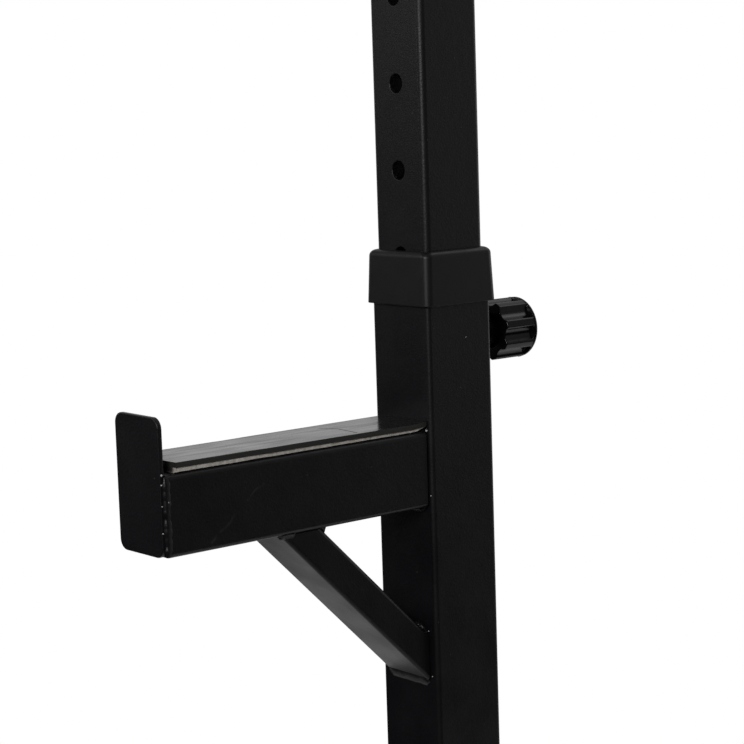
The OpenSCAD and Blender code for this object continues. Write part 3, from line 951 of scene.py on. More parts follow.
@dataclass
class Base:
    """The H-shaped floor base: a rail between two cross tubes on rubber feet."""

    length: float = 500.0
    width: float = 420.0
    tube: float = 50.0
    wall: float = 2.0
    corner: float = 4.0
    foot_height: float = 12.0
    foot_side: float = 44.0
    foot_inset: float = 32.0
    plug_rim: float = 3.0
    plug_crown: float = 1.6
    plug_depth: float = 14.0
    plug_wall: float = 2.0
    plug_room: float = 0.2
    screw: float = 5.0
    screw_hole: float = 5.2
    screw_recess: float = 10.5
    screw_sunk: float = 4.5
    screw_length: float = 18.5
    bolt_hole: float = 10.5
    bolt_places: Pair = (-18.0, 138.0)

    def build(self) -> None:
        """Makes every piece of the base."""
        self.middle = self.foot_height + self.tube / 2
        self.cross = self.length / 2 - self.tube / 2
        self.rail()
        for side, word in ((-1, "front"), (1, "rear")):
            self.cross_tube(side, word)
        self.plugs()
        self.feet()
        self.screws()
        self.welds()

    def feet_places(self) -> list[Pair]:
        """Gives the middles of the four feet."""
        reach = self.width / 2 - self.foot_inset
        return [(x * reach, y * self.cross) for x in (-1, 1) for y in (-1, 1)]

    def rail(self) -> None:
        """Makes the rail, with the holes for the post's two bolts."""
        long = self.length - 2 * self.tube
        body = tube(self.tube, self.tube, self.corner, self.wall, long)
        body.put(ALONG_Y).at(0, -long / 2, self.middle)
        holes = Form()
        for y in self.bolt_places:
            holes.add(drill(self.bolt_hole / 2, self.foot_height, self.foot_height + self.tube)
                      .at(0, y, 0))
        make_piece("rail_tube", body, STEEL_COAT, Body.STAND, ["base_rail"], holes)

    def cross_tube(self, side: int, word: str) -> None:
        """Makes one cross tube, with its two screw holes.

        Args:
            side: -1 for the front, 1 for the rear.
            word: The name of that side.
        """
        long = self.width - 2 * self.plug_rim
        body = tube(self.tube, self.tube, self.corner, self.wall, long)
        body.put(ALONG_X).at(-long / 2, side * self.cross, self.middle)
        holes = Form()
        for x, y in self.feet_places():
            if y * side > 0:
                holes.add(drill(self.screw_hole / 2, self.foot_height,
                                self.foot_height + self.wall + 1, 0.3).at(x, y, 0))
        make_piece(f"{word}_cross_tube", body, STEEL_COAT, Body.STAND, [f"{word}_foot_tube"],
                   holes)

    def plugs(self) -> None:
        """Makes the four end plugs, with a crowned rim and a skirt inside the tube."""
        inside = self.tube - 2 * self.wall - self.plug_room
        made = Form()
        for x in (-1, 1):
            for y in (-1, 1):
                plug = slab(self.tube, self.tube, self.corner, self.plug_rim, 0.3,
                            self.plug_crown)
                skirt = tube(inside, inside, self.corner - 1, self.plug_wall, self.plug_depth)
                plug.add(skirt.at(0, 0, -self.plug_depth))
                turn = ALONG_X if x > 0 else Matrix.Rotation(math.pi, 4, "Z") @ ALONG_X
                plug.put(turn)
                made.add(plug.at(x * (self.width / 2 - self.plug_rim), y * self.cross,
                                 self.middle))
        make_piece("tube_end_plugs", made, MOULDED_PLASTIC, Body.STAND, ["foot_end_plugs"])

    def feet(self) -> None:
        """Makes the four rubber feet, with the recess for each screw."""
        made, holes = Form(), Form()
        recess, hole = self.screw_recess / 2, self.screw_hole / 2
        for x, y in self.feet_places():
            made.add(slab(self.foot_side, self.foot_side, self.corner, self.foot_height, 1.2, 0.6)
                     .at(x, y, 0))
            holes.add(spun([(recess + 0.35, -1), (recess + 0.35, 0), (recess, 0.4),
                            (recess, self.screw_sunk)], 40).at(x, y, 0))
            holes.add(spun([(hole, self.screw_sunk - 1), (hole, self.foot_height + 1)], 24)
                      .at(x, y, 0))
        make_piece("floor_feet", made, SOFT_RUBBER, Body.STAND, ["rubber_feet"], holes)

    def screws(self) -> None:
        """Makes the four foot screws: a round head with a hexagon socket and a thread."""
        socket = hexagon(3.0)
        made = Form()
        for x, y in self.feet_places():
            head = [(socket, -1.0), (socket, -2.8), (3.2, -3.0), (4.2, -2.6), (4.7, -1.6),
                    (4.75, -0.6), (4.5, 0.0), (2.0, 0.0)]
            made.add(spun(head, 36).at(x, y, self.screw_sunk))
            made.add(threaded(self.screw / 2, 0.9, 0.0, self.screw_length, 20)
                     .at(x, y, self.screw_sunk))
        make_piece("foot_screw_set", made, PLATED_STEEL, Body.STAND, ["foot_screws"])

    def welds(self) -> None:
        """Makes the four upright beads between the rail and the cross tubes."""
        low, high = self.foot_height + self.corner, self.foot_height + self.tube - self.corner
        end = self.length / 2 - self.tube
        beads = [Weld((x * self.tube / 2, y * end, low), (x * self.tube / 2, y * end, high),
                      (x, 0, 0), (0, -y, 0)) for x in (-1, 1) for y in (-1, 1)]
        make_piece("rail_weld_beads", welded(beads), STEEL_COAT, Body.STAND, ["base_welds"])


@dataclass
class LowerPost:
    """The fixed square post, bolted to the rail through its foot plate."""

    size: float = 50.0
    wall: float = 1.5
    corner: float = 3.0
    back: float = 60.0
    foot: float = 68.0
    top: float = 901.5
    plate: Triple = (64.0, 190.0, 6.0)
    plate_corner: float = 6.0
    bolt_spacing: float = 156.0
    bolt: float = 10.0
    bolt_hole: float = 10.5
    bolt_pitch: float = 1.5
    bolt_end: float = 14.4
    bolt_socket: float = 6.0
    washer: Pair = (20.0, 2.0)
    nut: Pair = (16.0, 8.4)
    rail_bottom: float = 12.0
    gusset: Triple = (38.0, 70.0, 5.0)
    weld_gap: float = 3.5
    pin_height: float = 851.0
    pin_hole: float = 10.1

    def build(self) -> None:
        """Makes the post, its foot and its fasteners."""
        self.post()
        self.foot_plate()
        self.gussets()
        self.fasteners()
        self.welds()

    def post(self) -> None:
        """Makes the post's tube, with the pin's hole in its back."""
        body = tube(self.size, self.size, self.corner, self.wall, self.top - self.foot)
        body.at(0, self.back, self.foot)
        rear = self.back + self.size / 2
        hole = drill(self.pin_hole / 2, -5, 0, 0.3).put(ALONG_Y).at(0, rear, self.pin_height)
        make_piece("lower_post_tube", body, STEEL_COAT, Body.STAND, ["lower_post"], hole)

    def bolts_at(self) -> list[float]:
        """Gives the y of each base bolt."""
        return [self.back + side * self.bolt_spacing / 2 for side in (-1, 1)]

    def foot_plate(self) -> None:
        """Makes the foot plate with its two bolt holes."""
        wide, long, thick = self.plate
        body = slab(wide, long, self.plate_corner, thick, 0.6)
        body.at(0, self.back, self.foot - thick)
        holes = Form()
        for y in self.bolts_at():
            holes.add(drill(self.bolt_hole / 2, self.foot - thick, self.foot).at(0, y, 0))
        make_piece("post_foot_flange", body, STEEL_COAT, Body.STAND, ["post_foot_plate"], holes)

    def gussets(self) -> None:
        """Makes the two stiffening plates at the foot."""
        reach, rise, thick = self.gusset
        made = Form()
        for side in (-1, 1):
            y = self.back + side * self.size / 2
            outline = [(y, self.foot), (y + side * reach, self.foot),
                       (y + side * reach, self.foot + thick), (y + side * thick, self.foot + rise),
                       (y, self.foot + rise)]
            made.add(prism(outline, -thick / 2, thick / 2))
        make_piece("foot_gusset_plates", made, STEEL_COAT, Body.STAND, ["post_gussets"], edge=0.6)

    def fasteners(self) -> None:
        """Makes the bolts, washers and nuts that hold the foot to the rail."""
        bolts, washers, nuts = Form(), Form(), Form()
        r, low, thread_start = self.bolt / 2, self.rail_bottom, self.foot - 4
        bore, (wide, thick), (flats, tall) = self.bolt_hole / 2, self.washer, self.nut
        rim = wide / 2
        socket = hexagon(self.bolt_socket)
        for y in self.bolts_at():
            head = [(socket, low - 2.2), (socket, low - 4.9), (6.2, low - 5.0),
                    (8.3, low - 4.3), (9.7, low - 2.9), (10.4, low - 1.2), (10.5, low - 0.3),
                    (10.3, low), (r, low), (r, thread_start)]
            bolts.add(spun(head, 48).at(0, y, 0))
            bolts.add(threaded(r, self.bolt_pitch, thread_start, self.foot + self.bolt_end)
                      .at(0, y, 0))
            washers.add(spun([(bore, 0.3), (bore + 0.25, 0), (rim - 0.3, 0), (rim, 0.3),
                              (rim, thick - 0.3), (rim - 0.3, thick), (bore + 0.25, thick),
                              (bore, thick - 0.3)], 48, looped=True).at(0, y, self.foot))
            nuts.add(nut(flats, self.bolt - 0.6, tall).at(0, y, self.foot + thick))
        for name, form, node in (("base_bolt_pair", bolts, "base_bolts"),
                                 ("base_washer_pair", washers, "base_washers"),
                                 ("base_nut_pair", nuts, "base_nuts")):
            make_piece(name, form, PLATED_STEEL, Body.STAND, [node])

    def welds(self) -> None:
        """Makes the fillets round the post's foot, with a break at each gusset."""
        half, flat = self.size / 2, self.size / 2 - self.corner
        beads = [Weld((x * half, self.back - flat, self.foot),
                      (x * half, self.back + flat, self.foot), (x, 0, 0), (0, 0, 1))
                 for x in (-1, 1)]
        for x in (-1, 1):
            for y in (-1, 1):
                at = self.back + y * half
                beads.append(Weld((x * self.weld_gap, at, self.foot), (x * flat, at, self.foot),
                                  (0, y, 0), (0, 0, 1)))
        make_piece("post_weld_beads", welded(beads), STEEL_COAT, Body.STAND, ["post_welds"])


@dataclass
class SpotterArm:
    """The arm that catches the bar, with its end plate, brace and rubber-topped face."""

    size: float = 45.0
    wall: float = 2.0
    corner: float = 3.0
    top: float = 800.0
    post_front: float = 35.0
    reach: float = 186.4
    plate_width: float = 41.0
    plate_thickness: float = 3.0
    plate_lip: float = 30.5
    plate_corner: float = 6.0
    brace_width: float = 38.0
    brace_thickness: float = 20.0
    brace_corner: float = 2.5
    brace_reach: float = 107.4
    brace_drop: float = 105.4
    strip_thickness: float = 3.0
    tape_front: float = 2.95
    tape_rear: float = 2.0
    strip_inset: float = 0.6
    tape_inset: float = 1.1
    tape_curl: float = 0.6
    far_drop: float = 0.6
    tip_gap: float = 7.0
    post_gap: float = 0.5
    lift: float = 1.1
    lift_length: float = 14.0
    bead_lift: float = 2.2
    bead_lift_length: float = 8.0
    bead_lift_run: float = 7.5
    tape_gap: float = 0.7
    tape_step: float = 0.8
    strip_step: float = 2.0
    weld_gap: float = 0.8
    brace_weld: float = 7.0
    # Each grain's x, y and z and its radius
    grains: tuple[tuple[float, ...], ...] = (
        (21.6, 34.6, 800.4, 0.75), (23.6, 34.9, 762.0, 0.4), (20.8, 34.9, 797.6, 0.35),
        (20.9, -150.3, 800.1, 0.7), (20.9, -150.6, 794.9, 0.5), (22.7, -147.7, 785.5, 0.4),
        (20.8, -150.7, 783.5, 0.4), (20.8, -150.8, 768.9, 0.45),
        (18.2, 34.8, 680.0, 0.4), (20.4, 34.8, 652.8, 0.4), (24.9, 64.5, 852.5, 0.35))

    def build(self) -> None:
        """Makes every piece of the arm."""
        self.bottom = self.top - self.size
        self.tip = self.post_front - self.reach
        self.tube_start = self.tip + self.plate_thickness
        self.strip_start = self.tube_start + self.tip_gap
        self.strip_end = self.post_front - self.post_gap
        self.arm()
        self.end_plate()
        self.brace()
        self.tape()
        self.strip()
        self.welds()
        self.spatter()

    def arm(self) -> None:
        """Makes the arm's square tube, which stops short of the post by the gap under its welds."""
        body = tube(self.size, self.size, self.corner, self.wall,
                    self.post_front - self.weld_gap - self.tube_start, 0.7)
        body.put(ALONG_Y).at(0, self.tube_start, self.top - self.size / 2)
        make_piece("arm_tube", body, ARM_COAT, Body.STAND, ["spotter_arm"])

    def end_plate(self) -> None:
        """Makes the upturned plate at the arm's tip."""
        tall = self.size + self.plate_lip
        body = slab(self.plate_width, tall, self.plate_corner, self.plate_thickness, 0.7)
        body.put(ALONG_Y).at(0, self.tip, self.bottom + tall / 2)
        make_piece("arm_tip_plate", body, STEEL_COAT, Body.STAND, ["arm_end_plate"])

    def brace(self) -> None:
        """Makes the slanting brace, whose ends are cut a welding gap short of arm and post."""
        slant = math.atan2(self.brace_drop, self.brace_reach)
        along = Vector((0, -math.cos(slant), math.sin(slant)))
        up = Vector((0, math.sin(slant), math.cos(slant)))
        low = Vector((0, self.post_front, self.bottom - self.brace_drop))
        section = [low + Vector((p.x, 0, 0)) + up * (p.y + self.brace_thickness / 2)
                   for p in round_rect(self.brace_width, self.brace_thickness, self.brace_corner)]
        foot = [p + along * ((self.post_front - self.weld_gap - p.y) / along.y)
                for p in section]
        head = [p + along * ((self.bottom - self.weld_gap - p.z) / along.z) for p in section]
        make_piece("arm_brace_tube", Form().loft([foot, head]), STEEL_COAT, Body.STAND,
                   ["arm_brace"])

    def peel(self, x: float, y: float) -> float:
        """Gives how far the strip has come up: only at its right corner beside the post.

        Args:
            x: How far to the right.
            y: The place along the arm.

        Returns:
            The lift in millimetres.
        """
        near = max(0.0, 1 - (self.strip_end - y) / self.lift_length)
        side = max(0.0, 0.3 + 1.4 * x / self.size)
        return self.lift * near * near * side

    def tape_height(self, x: float, y: float) -> float:
        """Gives the tape's thickness: it thins towards the post and, at the tip, to the left.

        Args:
            x: How far to the right.
            y: The place along the arm.

        Returns:
            The height of its upper face over the arm.
        """
        share = (y - self.strip_start) / (self.strip_end - self.strip_start)
        flat = self.tape_front + (self.tape_rear - self.tape_front) * share
        pressed = self.far_drop * min(1.0, 1.3 * (1 - share)) * (0.5 - x / self.size)
        return flat - pressed + self.peel(x, y)

    def stations(self, end: float, step: float) -> list[float]:
        """Gives the places from the strip's start to an end, about a step apart.

        Args:
            end: The last place.
            step: The wanted distance between two.

        Returns:
            The places along the arm.
        """
        count = round((end - self.strip_start) / step)
        return [self.strip_start + (end - self.strip_start) * i / count for i in range(count + 1)]

    def tape(self) -> None:
        """Makes the foam tape, curled up along its torn edges and lifted off the post's bead."""
        half = self.size / 2 - self.tape_inset
        rings = []
        for y in self.stations(self.post_front - self.tape_gap, self.tape_step):
            ring = []
            for x, z, curl in ((-1, 0, 1), (-0.9, 0, 0), (0.9, 0, 0), (1, 0, 1), (1, 0.5, 0.5),
                               (1, 1, 0), (-1, 1, 0), (-1, 0.5, 0.5)):
                torn = noise.noise(Vector((y / 2.2, x * 3 + z * 1.5, 7))) * 0.3
                torn += noise.noise(Vector((y / 9, x * 5, 3))) * 0.4
                pinch = self.tape_curl * (1 + 0.5 * noise.noise(Vector((y / 16, x, 5))))
                high = self.tape_height(x * half, y)
                near = (y - self.post_front + self.bead_lift_length) / self.bead_lift_run
                lifted = self.bead_lift * min(1.0, max(0.0, near))
                low = min(high - 0.5, max(0.6 * self.peel(x * half, y), lifted))
                ring.append(Vector((x * (half - 0.3 + torn), y,
                                    self.top + low + curl * pinch + z * (high - low))))
            rings.append(ring)
        make_piece("arm_foam_tape", Form().loft(rings), TAPE_FOAM, Body.STAND,
                   ["arm_strip_tape"])

    def strip(self) -> None:
        """Makes the rubber strip, which lies a little unevenly on its tape."""
        width = self.size - 2 * self.strip_inset
        rings = []
        for y in self.stations(self.strip_end, self.strip_step):
            sway = 0.25 * noise.noise(Vector((y / 30, 2, 5)))
            z = self.top + self.strip_thickness / 2 + 0.12 * noise.noise(Vector((y / 22, 8, 1)))
            rings.append([Vector((p.x + sway, y, z + p.y + self.tape_height(p.x, y)))
                          for p in round_rect(width, self.strip_thickness, 0.35, 3)])
        make_piece("arm_rubber_face", Form().loft(rings), PAD_RUBBER, Body.STAND,
                   ["arm_rubber_strip"])

    def welds(self) -> None:
        """Makes the beads at the post, at the end plate and at both ends of the brace."""
        flat = self.size / 2 - self.corner
        brace = self.brace_width / 2 - self.brace_corner
        slant = math.atan2(self.brace_drop, self.brace_reach)
        out = (0, -math.cos(slant), math.sin(slant))
        back = tuple(-c for c in out)
        foot, front = self.bottom - self.brace_drop, self.post_front
        above = foot + self.brace_thickness / math.cos(slant)
        behind = front - self.brace_reach + self.brace_thickness / math.sin(slant)
        flank = self.brace_width / 2 - 0.6
        start = front - self.brace_reach
        beads = [
            Weld((-flat, front, self.bottom), (flat, front, self.bottom), (0, -1, 0), (0, 0, -1)),
            Weld((-flat, front, self.top), (flat, front, self.top), (0, -1, 0), (0, 0, 1), 2.2),
            Weld((-brace - 2, front, foot), (brace + 2, front, foot), out, (0, 0, -1), 3.7,
                 ripple=9.0, lumps=0.12, ripple_depth=0.02),
            Weld((-brace, behind, self.bottom), (brace + 1, behind, self.bottom), (0, 1, 0), back,
                 self.brace_weld + 2, hollow=0.43, lumps=0.1, ripple_depth=0.04),
            Weld((-brace, front, above), (brace + 1, front, above), (0, 0, 1), out,
                 self.brace_weld, hollow=0.2, lumps=0.15, ripple_depth=0.08),
            Weld((flank, start - 1, self.bottom), (flank, start + 11, self.bottom),
                 (1, 0, 0), (0, 0, -1), 3.6, lumps=0.6),
        ]
        side = self.plate_width / 2
        for x in (-1, 1):
            low, high = self.bottom + 1.2, self.top - 1.2
            beads.append(Weld((x * side, self.tube_start, low), (x * side, self.tube_start, high),
                              (x, 0, 0), (0, -1, 0), 1.8, 5.0, 0.35))
            face = x * (self.size / 2 - 0.1)
            beads.append(Weld((face, self.tube_start, low), (face, self.tube_start, high),
                              (x, 0, 0), (0, 1, 0), 2.6, 5.0, 0.25, squash=0.2))
        make_piece("arm_weld_beads", welded(beads), STEEL_COAT, Body.STAND, ["arm_welds"])

    def spatter(self) -> None:
        """Makes the grains of weld spatter that stuck beside the beads, painted near-white as glints.
        """
        form = Form()
        for x, y, z, r in self.grains:
            profile = [(0.05 * r, -r), (0.7 * r, -0.7 * r), (r, 0), (0.7 * r, 0.7 * r),
                       (0.05 * r, r)]
            form.add(spun(profile, 10).at(x, y, z))
        make_piece("arm_weld_spatter", form, SPATTER_PAINTED_GLINT, Body.STAND, ["arm_welds"])


@dataclass
class Collar:
    """The moulded collar over the lower post's end, which guides the inner post."""

    back: float = 60.0
    bottom: float = 872.8
    height: float = 31.7
    bottom_size: float = 55.8
    top_size: float = 53.8
    corner: float = 5.0
    rounding: float = 3.8
    lip: float = 3.0
    liner_depth: float = 22.0
    passage: float = 45.4
    bore: float = 50.2
    liner: float = 46.8

    def build(self) -> None:
        """Makes the collar: drafted outside, rounded top, and a liner down into the post."""
        top = self.bottom + self.height
        post_top = top - self.lip
        stops = [(self.bottom_size - 0.8, self.bottom, self.corner - 0.4),
                 (self.bottom_size - 0.2, self.bottom + 0.15, self.corner - 0.1),
                 (self.bottom_size, self.bottom + 0.5, self.corner)]
        for a in range(0, 91, 10):
            c, s = math.cos(math.radians(a)), math.sin(math.radians(a))
            inset = self.rounding * (1 - c)
            stops.append((self.top_size - 2 * inset, top - self.rounding * (1 - s),
                          self.corner - inset * 0.2))
        stops += [(self.passage, top - 0.3, 4.0),
                  (self.passage, post_top - self.liner_depth, 4.0),
                  (self.liner, post_top - self.liner_depth, 2.25), (self.liner, post_top, 2.25),
                  (self.bore, post_top, 3.0), (self.bore, self.bottom + 0.3, 3.0),
                  (self.bore + 0.6, self.bottom, 3.3)]
        rings = [[Vector((p.x, p.y + self.back, z)) for p in round_rect(size, size, radius, 10)]
                 for size, z, radius in stops]
        make_piece("post_top_collar", Form().loft(rings, looped=True), MOULDED_PLASTIC,
                   Body.STAND, ["post_collar"])


@dataclass
class InnerPost:
    """The sliding post with its height holes and the glide on its lower end."""

    size: float = 45.0
    wall: float = 2.0
    corner: float = 4.0
    back: float = 60.0
    bottom: float = 521.0
    top: float = 1301.0
    hole: float = 11.0
    pitch: float = 50.0
    highest: float = 1201.0
    holes: int = 13
    glide: float = 46.6
    glide_corner: float = 2.25
    glide_thickness: float = 4.0
    plug_depth: float = 20.0
    plug_wall: float = 2.0
    plug_corner: float = 3.0
    plug_room: float = 0.2

    def build(self) -> None:
        """Makes the post and its glide."""
        body = tube(self.size, self.size, self.corner, self.wall, self.top - self.bottom)
        body.at(0, self.back, self.bottom)
        cut = Form()
        for i in range(self.holes):
            cut.add(drill(self.hole / 2, -self.size / 2, self.size / 2).put(ALONG_Y)
                    .at(0, self.back, self.highest - i * self.pitch))
        make_piece("inner_post_tube", body, STEEL_COAT, Body.SLIDING_POST, ["inner_post"], cut)
        inside = self.size - 2 * self.wall - self.plug_room
        glide = slab(self.glide, self.glide, self.glide_corner, self.glide_thickness, 0.8, 0.3)
        glide.at(0, self.back, self.bottom - self.glide_thickness)
        plug = tube(inside, inside, self.plug_corner, self.plug_wall, self.plug_depth)
        glide.add(plug.at(0, self.back, self.bottom))
        make_piece("inner_post_foot_glide", glide, MOULDED_PLASTIC, Body.SLIDING_POST,
                   ["inner_post_glide"])


@dataclass
class PullPin:
    """The sprung pull pin behind the post: housing, pin, nut, fluted knob and its cover."""

    height: float = 851.0
    rear: float = 85.0
    hex_flats: float = 22.0
    hex_length: float = 10.0
    neck: float = 18.0
    housing_length: float = 24.0
    chamber: float = 13.0
    chamber_depth: float = 20.0
    pin: float = 10.0
    nose: float = 7.0
    shoulder: float = 12.4
    shoulder_length: float = 3.0
    rod: float = 9.0
    running_room: float = 0.05
    thread: float = 8.0
    thread_pitch: float = 1.25
    thread_start: float = 30.0
    thread_end: float = 41.0
    nut: Pair = (13.0, 6.5)
    nut_gap: float = 0.1
    knob: float = 36.8
    knob_start: float = 20.0
    knob_length: float = 24.7
    flutes: int = 8
    flute_turn: float = -7.5
    flute_radius: float = 6.0
    flute_depth: float = 3.0
    flange: float = 1.8
    round_off: float = 0.6
    hollow: float = 22.0
    hollow_depth: float = 10.0
    web: float = 3.5
    pocket: float = 17.0
    cover: float = 24.0
    cover_thickness: float = 1.5
    spring: float = 11.0
    spring_wire: float = 1.2
    spring_turns: int = 6
    spring_gap: float = 0.2
    travel: float = 6.0

    def build(self) -> None:
        """Makes the pull pin's pieces."""
        self.place = Matrix.Translation((0, self.rear, self.height)) @ ALONG_Y
        self.housing()
        self.lock_pin()
        self.lock_spring()
        self.knob_body()
        self.knob_cap()

    def housing(self) -> None:
        """Makes the hexagon and neck that are fixed to the post."""
        outline = hexagon(self.hex_flats)
        flat, neck, bore = self.hex_flats / 2, self.neck / 2, self.rod / 2 + self.running_room
        end, chamber = self.housing_length, self.chamber / 2

        def chamfer(a: float) -> float:
            """The hexagon cut by the turned chamfer."""
            return min(outline(a), flat + 0.5)

        profile = [(chamber, 0), (outline, 0), (outline, self.hex_length - 1.4),
                   (chamfer, self.hex_length - 0.5), (flat - 0.4, self.hex_length),
                   (neck + 0.4, self.hex_length), (neck, self.hex_length + 0.4),
                   (neck, end - 1.0), (neck - 0.3, end - 0.3), (neck - 1.0, end),
                   (bore + 0.4, end), (bore, end - 0.4), (bore, self.chamber_depth),
                   (chamber, self.chamber_depth)]
        # The housing's near-black finish partly paints the shade that the post casts on it
        make_piece("pin_guide_housing", spun(profile, 72, looped=True).put(self.place),
                   BLACK_OXIDE_SHADED, Body.STAND, ["pin_housing"])

    def lock_pin(self) -> None:
        """Makes the pin with its tapered nose, shoulder, rod and thread, and the knob's nut."""
        r, tip = self.pin / 2, 1.5
        profile = [(r - tip - 0.3, -self.nose), (r - tip, 0.1 - self.nose),
                   (r - 0.2, tip - 0.1 - self.nose), (r, tip + 0.2 - self.nose), (r, 0),
                   (self.shoulder / 2 - 0.2, 0), (self.shoulder / 2, 0.2),
                   (self.shoulder / 2, self.shoulder_length - 0.2),
                   (self.shoulder / 2 - 0.2, self.shoulder_length),
                   (self.rod / 2, self.shoulder_length), (self.rod / 2, self.thread_start)]
        body = spun(profile, 48)
        body.add(threaded(self.thread / 2, self.thread_pitch, self.thread_start,
                          self.thread_end))
        make_piece("pull_pin_rod", body.put(self.place), PLATED_STEEL, Body.PIN, ["lock_pin"])
        start = self.knob_start + self.hollow_depth + self.web + self.nut_gap
        flats, tall = self.nut
        fixed = nut(flats, self.thread - 0.5, tall).at(0, 0, start)
        make_piece("pull_knob_nut", fixed.put(self.place), PLATED_STEEL, Body.PIN, ["knob_nut"])

    def lock_spring(self) -> None:
        """Makes the spring between the pin's shoulder and the housing's end, which takes it up."""
        steps, sides, wire = 24, 12, self.spring_wire / 2
        start = self.shoulder_length + self.spring_gap
        length = self.chamber_depth - self.spring_gap - start
        rise = (length - self.spring_wire) / (self.spring_turns * steps)
        rings = []
        for i in range(self.spring_turns * steps + 1):
            a = 2 * math.pi * i / steps
            ring = []
            for k in range(sides):
                b = 2 * math.pi * k / sides
                r = self.spring / 2 + wire * math.cos(b)
                ring.append(Vector((r * math.cos(a), r * math.sin(a),
                                    start + wire + i * rise + wire * math.sin(b))))
            rings.append(ring)
        coil = make_piece("pin_return_spring", Form().loft(rings).put(self.place), PLATED_STEEL,
                          Body.STAND, ["lock_spring"])
        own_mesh(coil)

    def lobes(self, inset: float) -> Callable[[float], float]:
        """Gives the knob's fluted outline, with the ridges between flutes rounded off.

        Args:
            inset: How far the whole outline is drawn in.

        Returns:
            A function from an angle to the radius.
        """
        count = 1440
        sector = 2 * math.pi / self.flutes
        ring = self.knob / 2 - self.flute_depth + self.flute_radius
        angles = np.arange(count) * 2 * math.pi / count
        # The angle is mirrored because local Y points down once the axis lies along world Y
        local = (-angles - math.radians(self.flute_turn) + sector / 2) % sector - sector / 2
        inside = self.flute_radius**2 - (ring * np.sin(local)) ** 2
        flute = ring * np.cos(local) - np.sqrt(np.maximum(inside, 0))
        radius = np.where(inside > 0, np.minimum(flute, self.knob / 2), self.knob / 2)
        window = np.hanning(31)
        padded = np.concatenate([radius[-15:], radius, radius[:15]])
        smooth = np.convolve(padded, window / window.sum(), "valid") - inset
        return lambda a: float(smooth[round(a / (2 * math.pi) * count) % count])

    def knob_body(self) -> None:
        """Makes the fluted knob with its flange, its hollow and the recess for the cover."""
        start, end = self.knob_start, self.knob_start + self.knob_length
        rise, cover, pocket, hollow = (size / 2 for size in
                                       (self.knob, self.cover, self.pocket, self.hollow))
        shoulder, floor = end - self.flange, end - self.cover_thickness
        web, bore = start + self.hollow_depth, self.thread / 2 + self.running_room
        profile: list[Stop] = [(hollow, start + 0.5), (hollow + 0.5, start)]
        for a in (0, 20, 40, 60, 80):
            c, s = math.cos(math.radians(a)), math.sin(math.radians(a))
            profile.append((self.lobes(self.round_off * (1 - s)),
                            start + self.round_off * (1 - c)))
        profile += [(self.lobes(0.0), start + self.round_off + 0.3),
                    (self.lobes(0.0), shoulder - 1.0), (self.lobes(-0.25), shoulder - 0.35),
                    (rise - 0.25, shoulder), (rise, shoulder + 0.3), (rise, end - 0.6),
                    (rise - 0.2, end - 0.2), (rise - 0.7, end), (cover + 0.7, end),
                    (cover, end - 0.4), (cover, floor), (pocket, floor),
                    (pocket, web + self.web), (bore, web + self.web), (bore, web),
                    (hollow, web)]
        make_piece("pull_knob_body", spun(profile, 360, looped=True).put(self.place),
                   GLOSS_PLASTIC, Body.KNOB, ["pull_knob"])

    def knob_cap(self) -> None:
        """Makes the cover disc, crowned very slightly."""
        end, r = self.knob_start + self.knob_length, self.cover / 2
        profile = [(0.02, end - self.cover_thickness), (r - 0.1, end - self.cover_thickness),
                   (r - 0.06, end - 0.7), (r - 0.4, end - 0.35), (r * 0.7, end - 0.15),
                   (r * 0.35, end - 0.03), (0.02, end)]
        make_piece("pull_knob_cap", spun(profile, 64).put(self.place), GLOSS_PLASTIC, Body.KNOB,
                   ["knob_cover"])


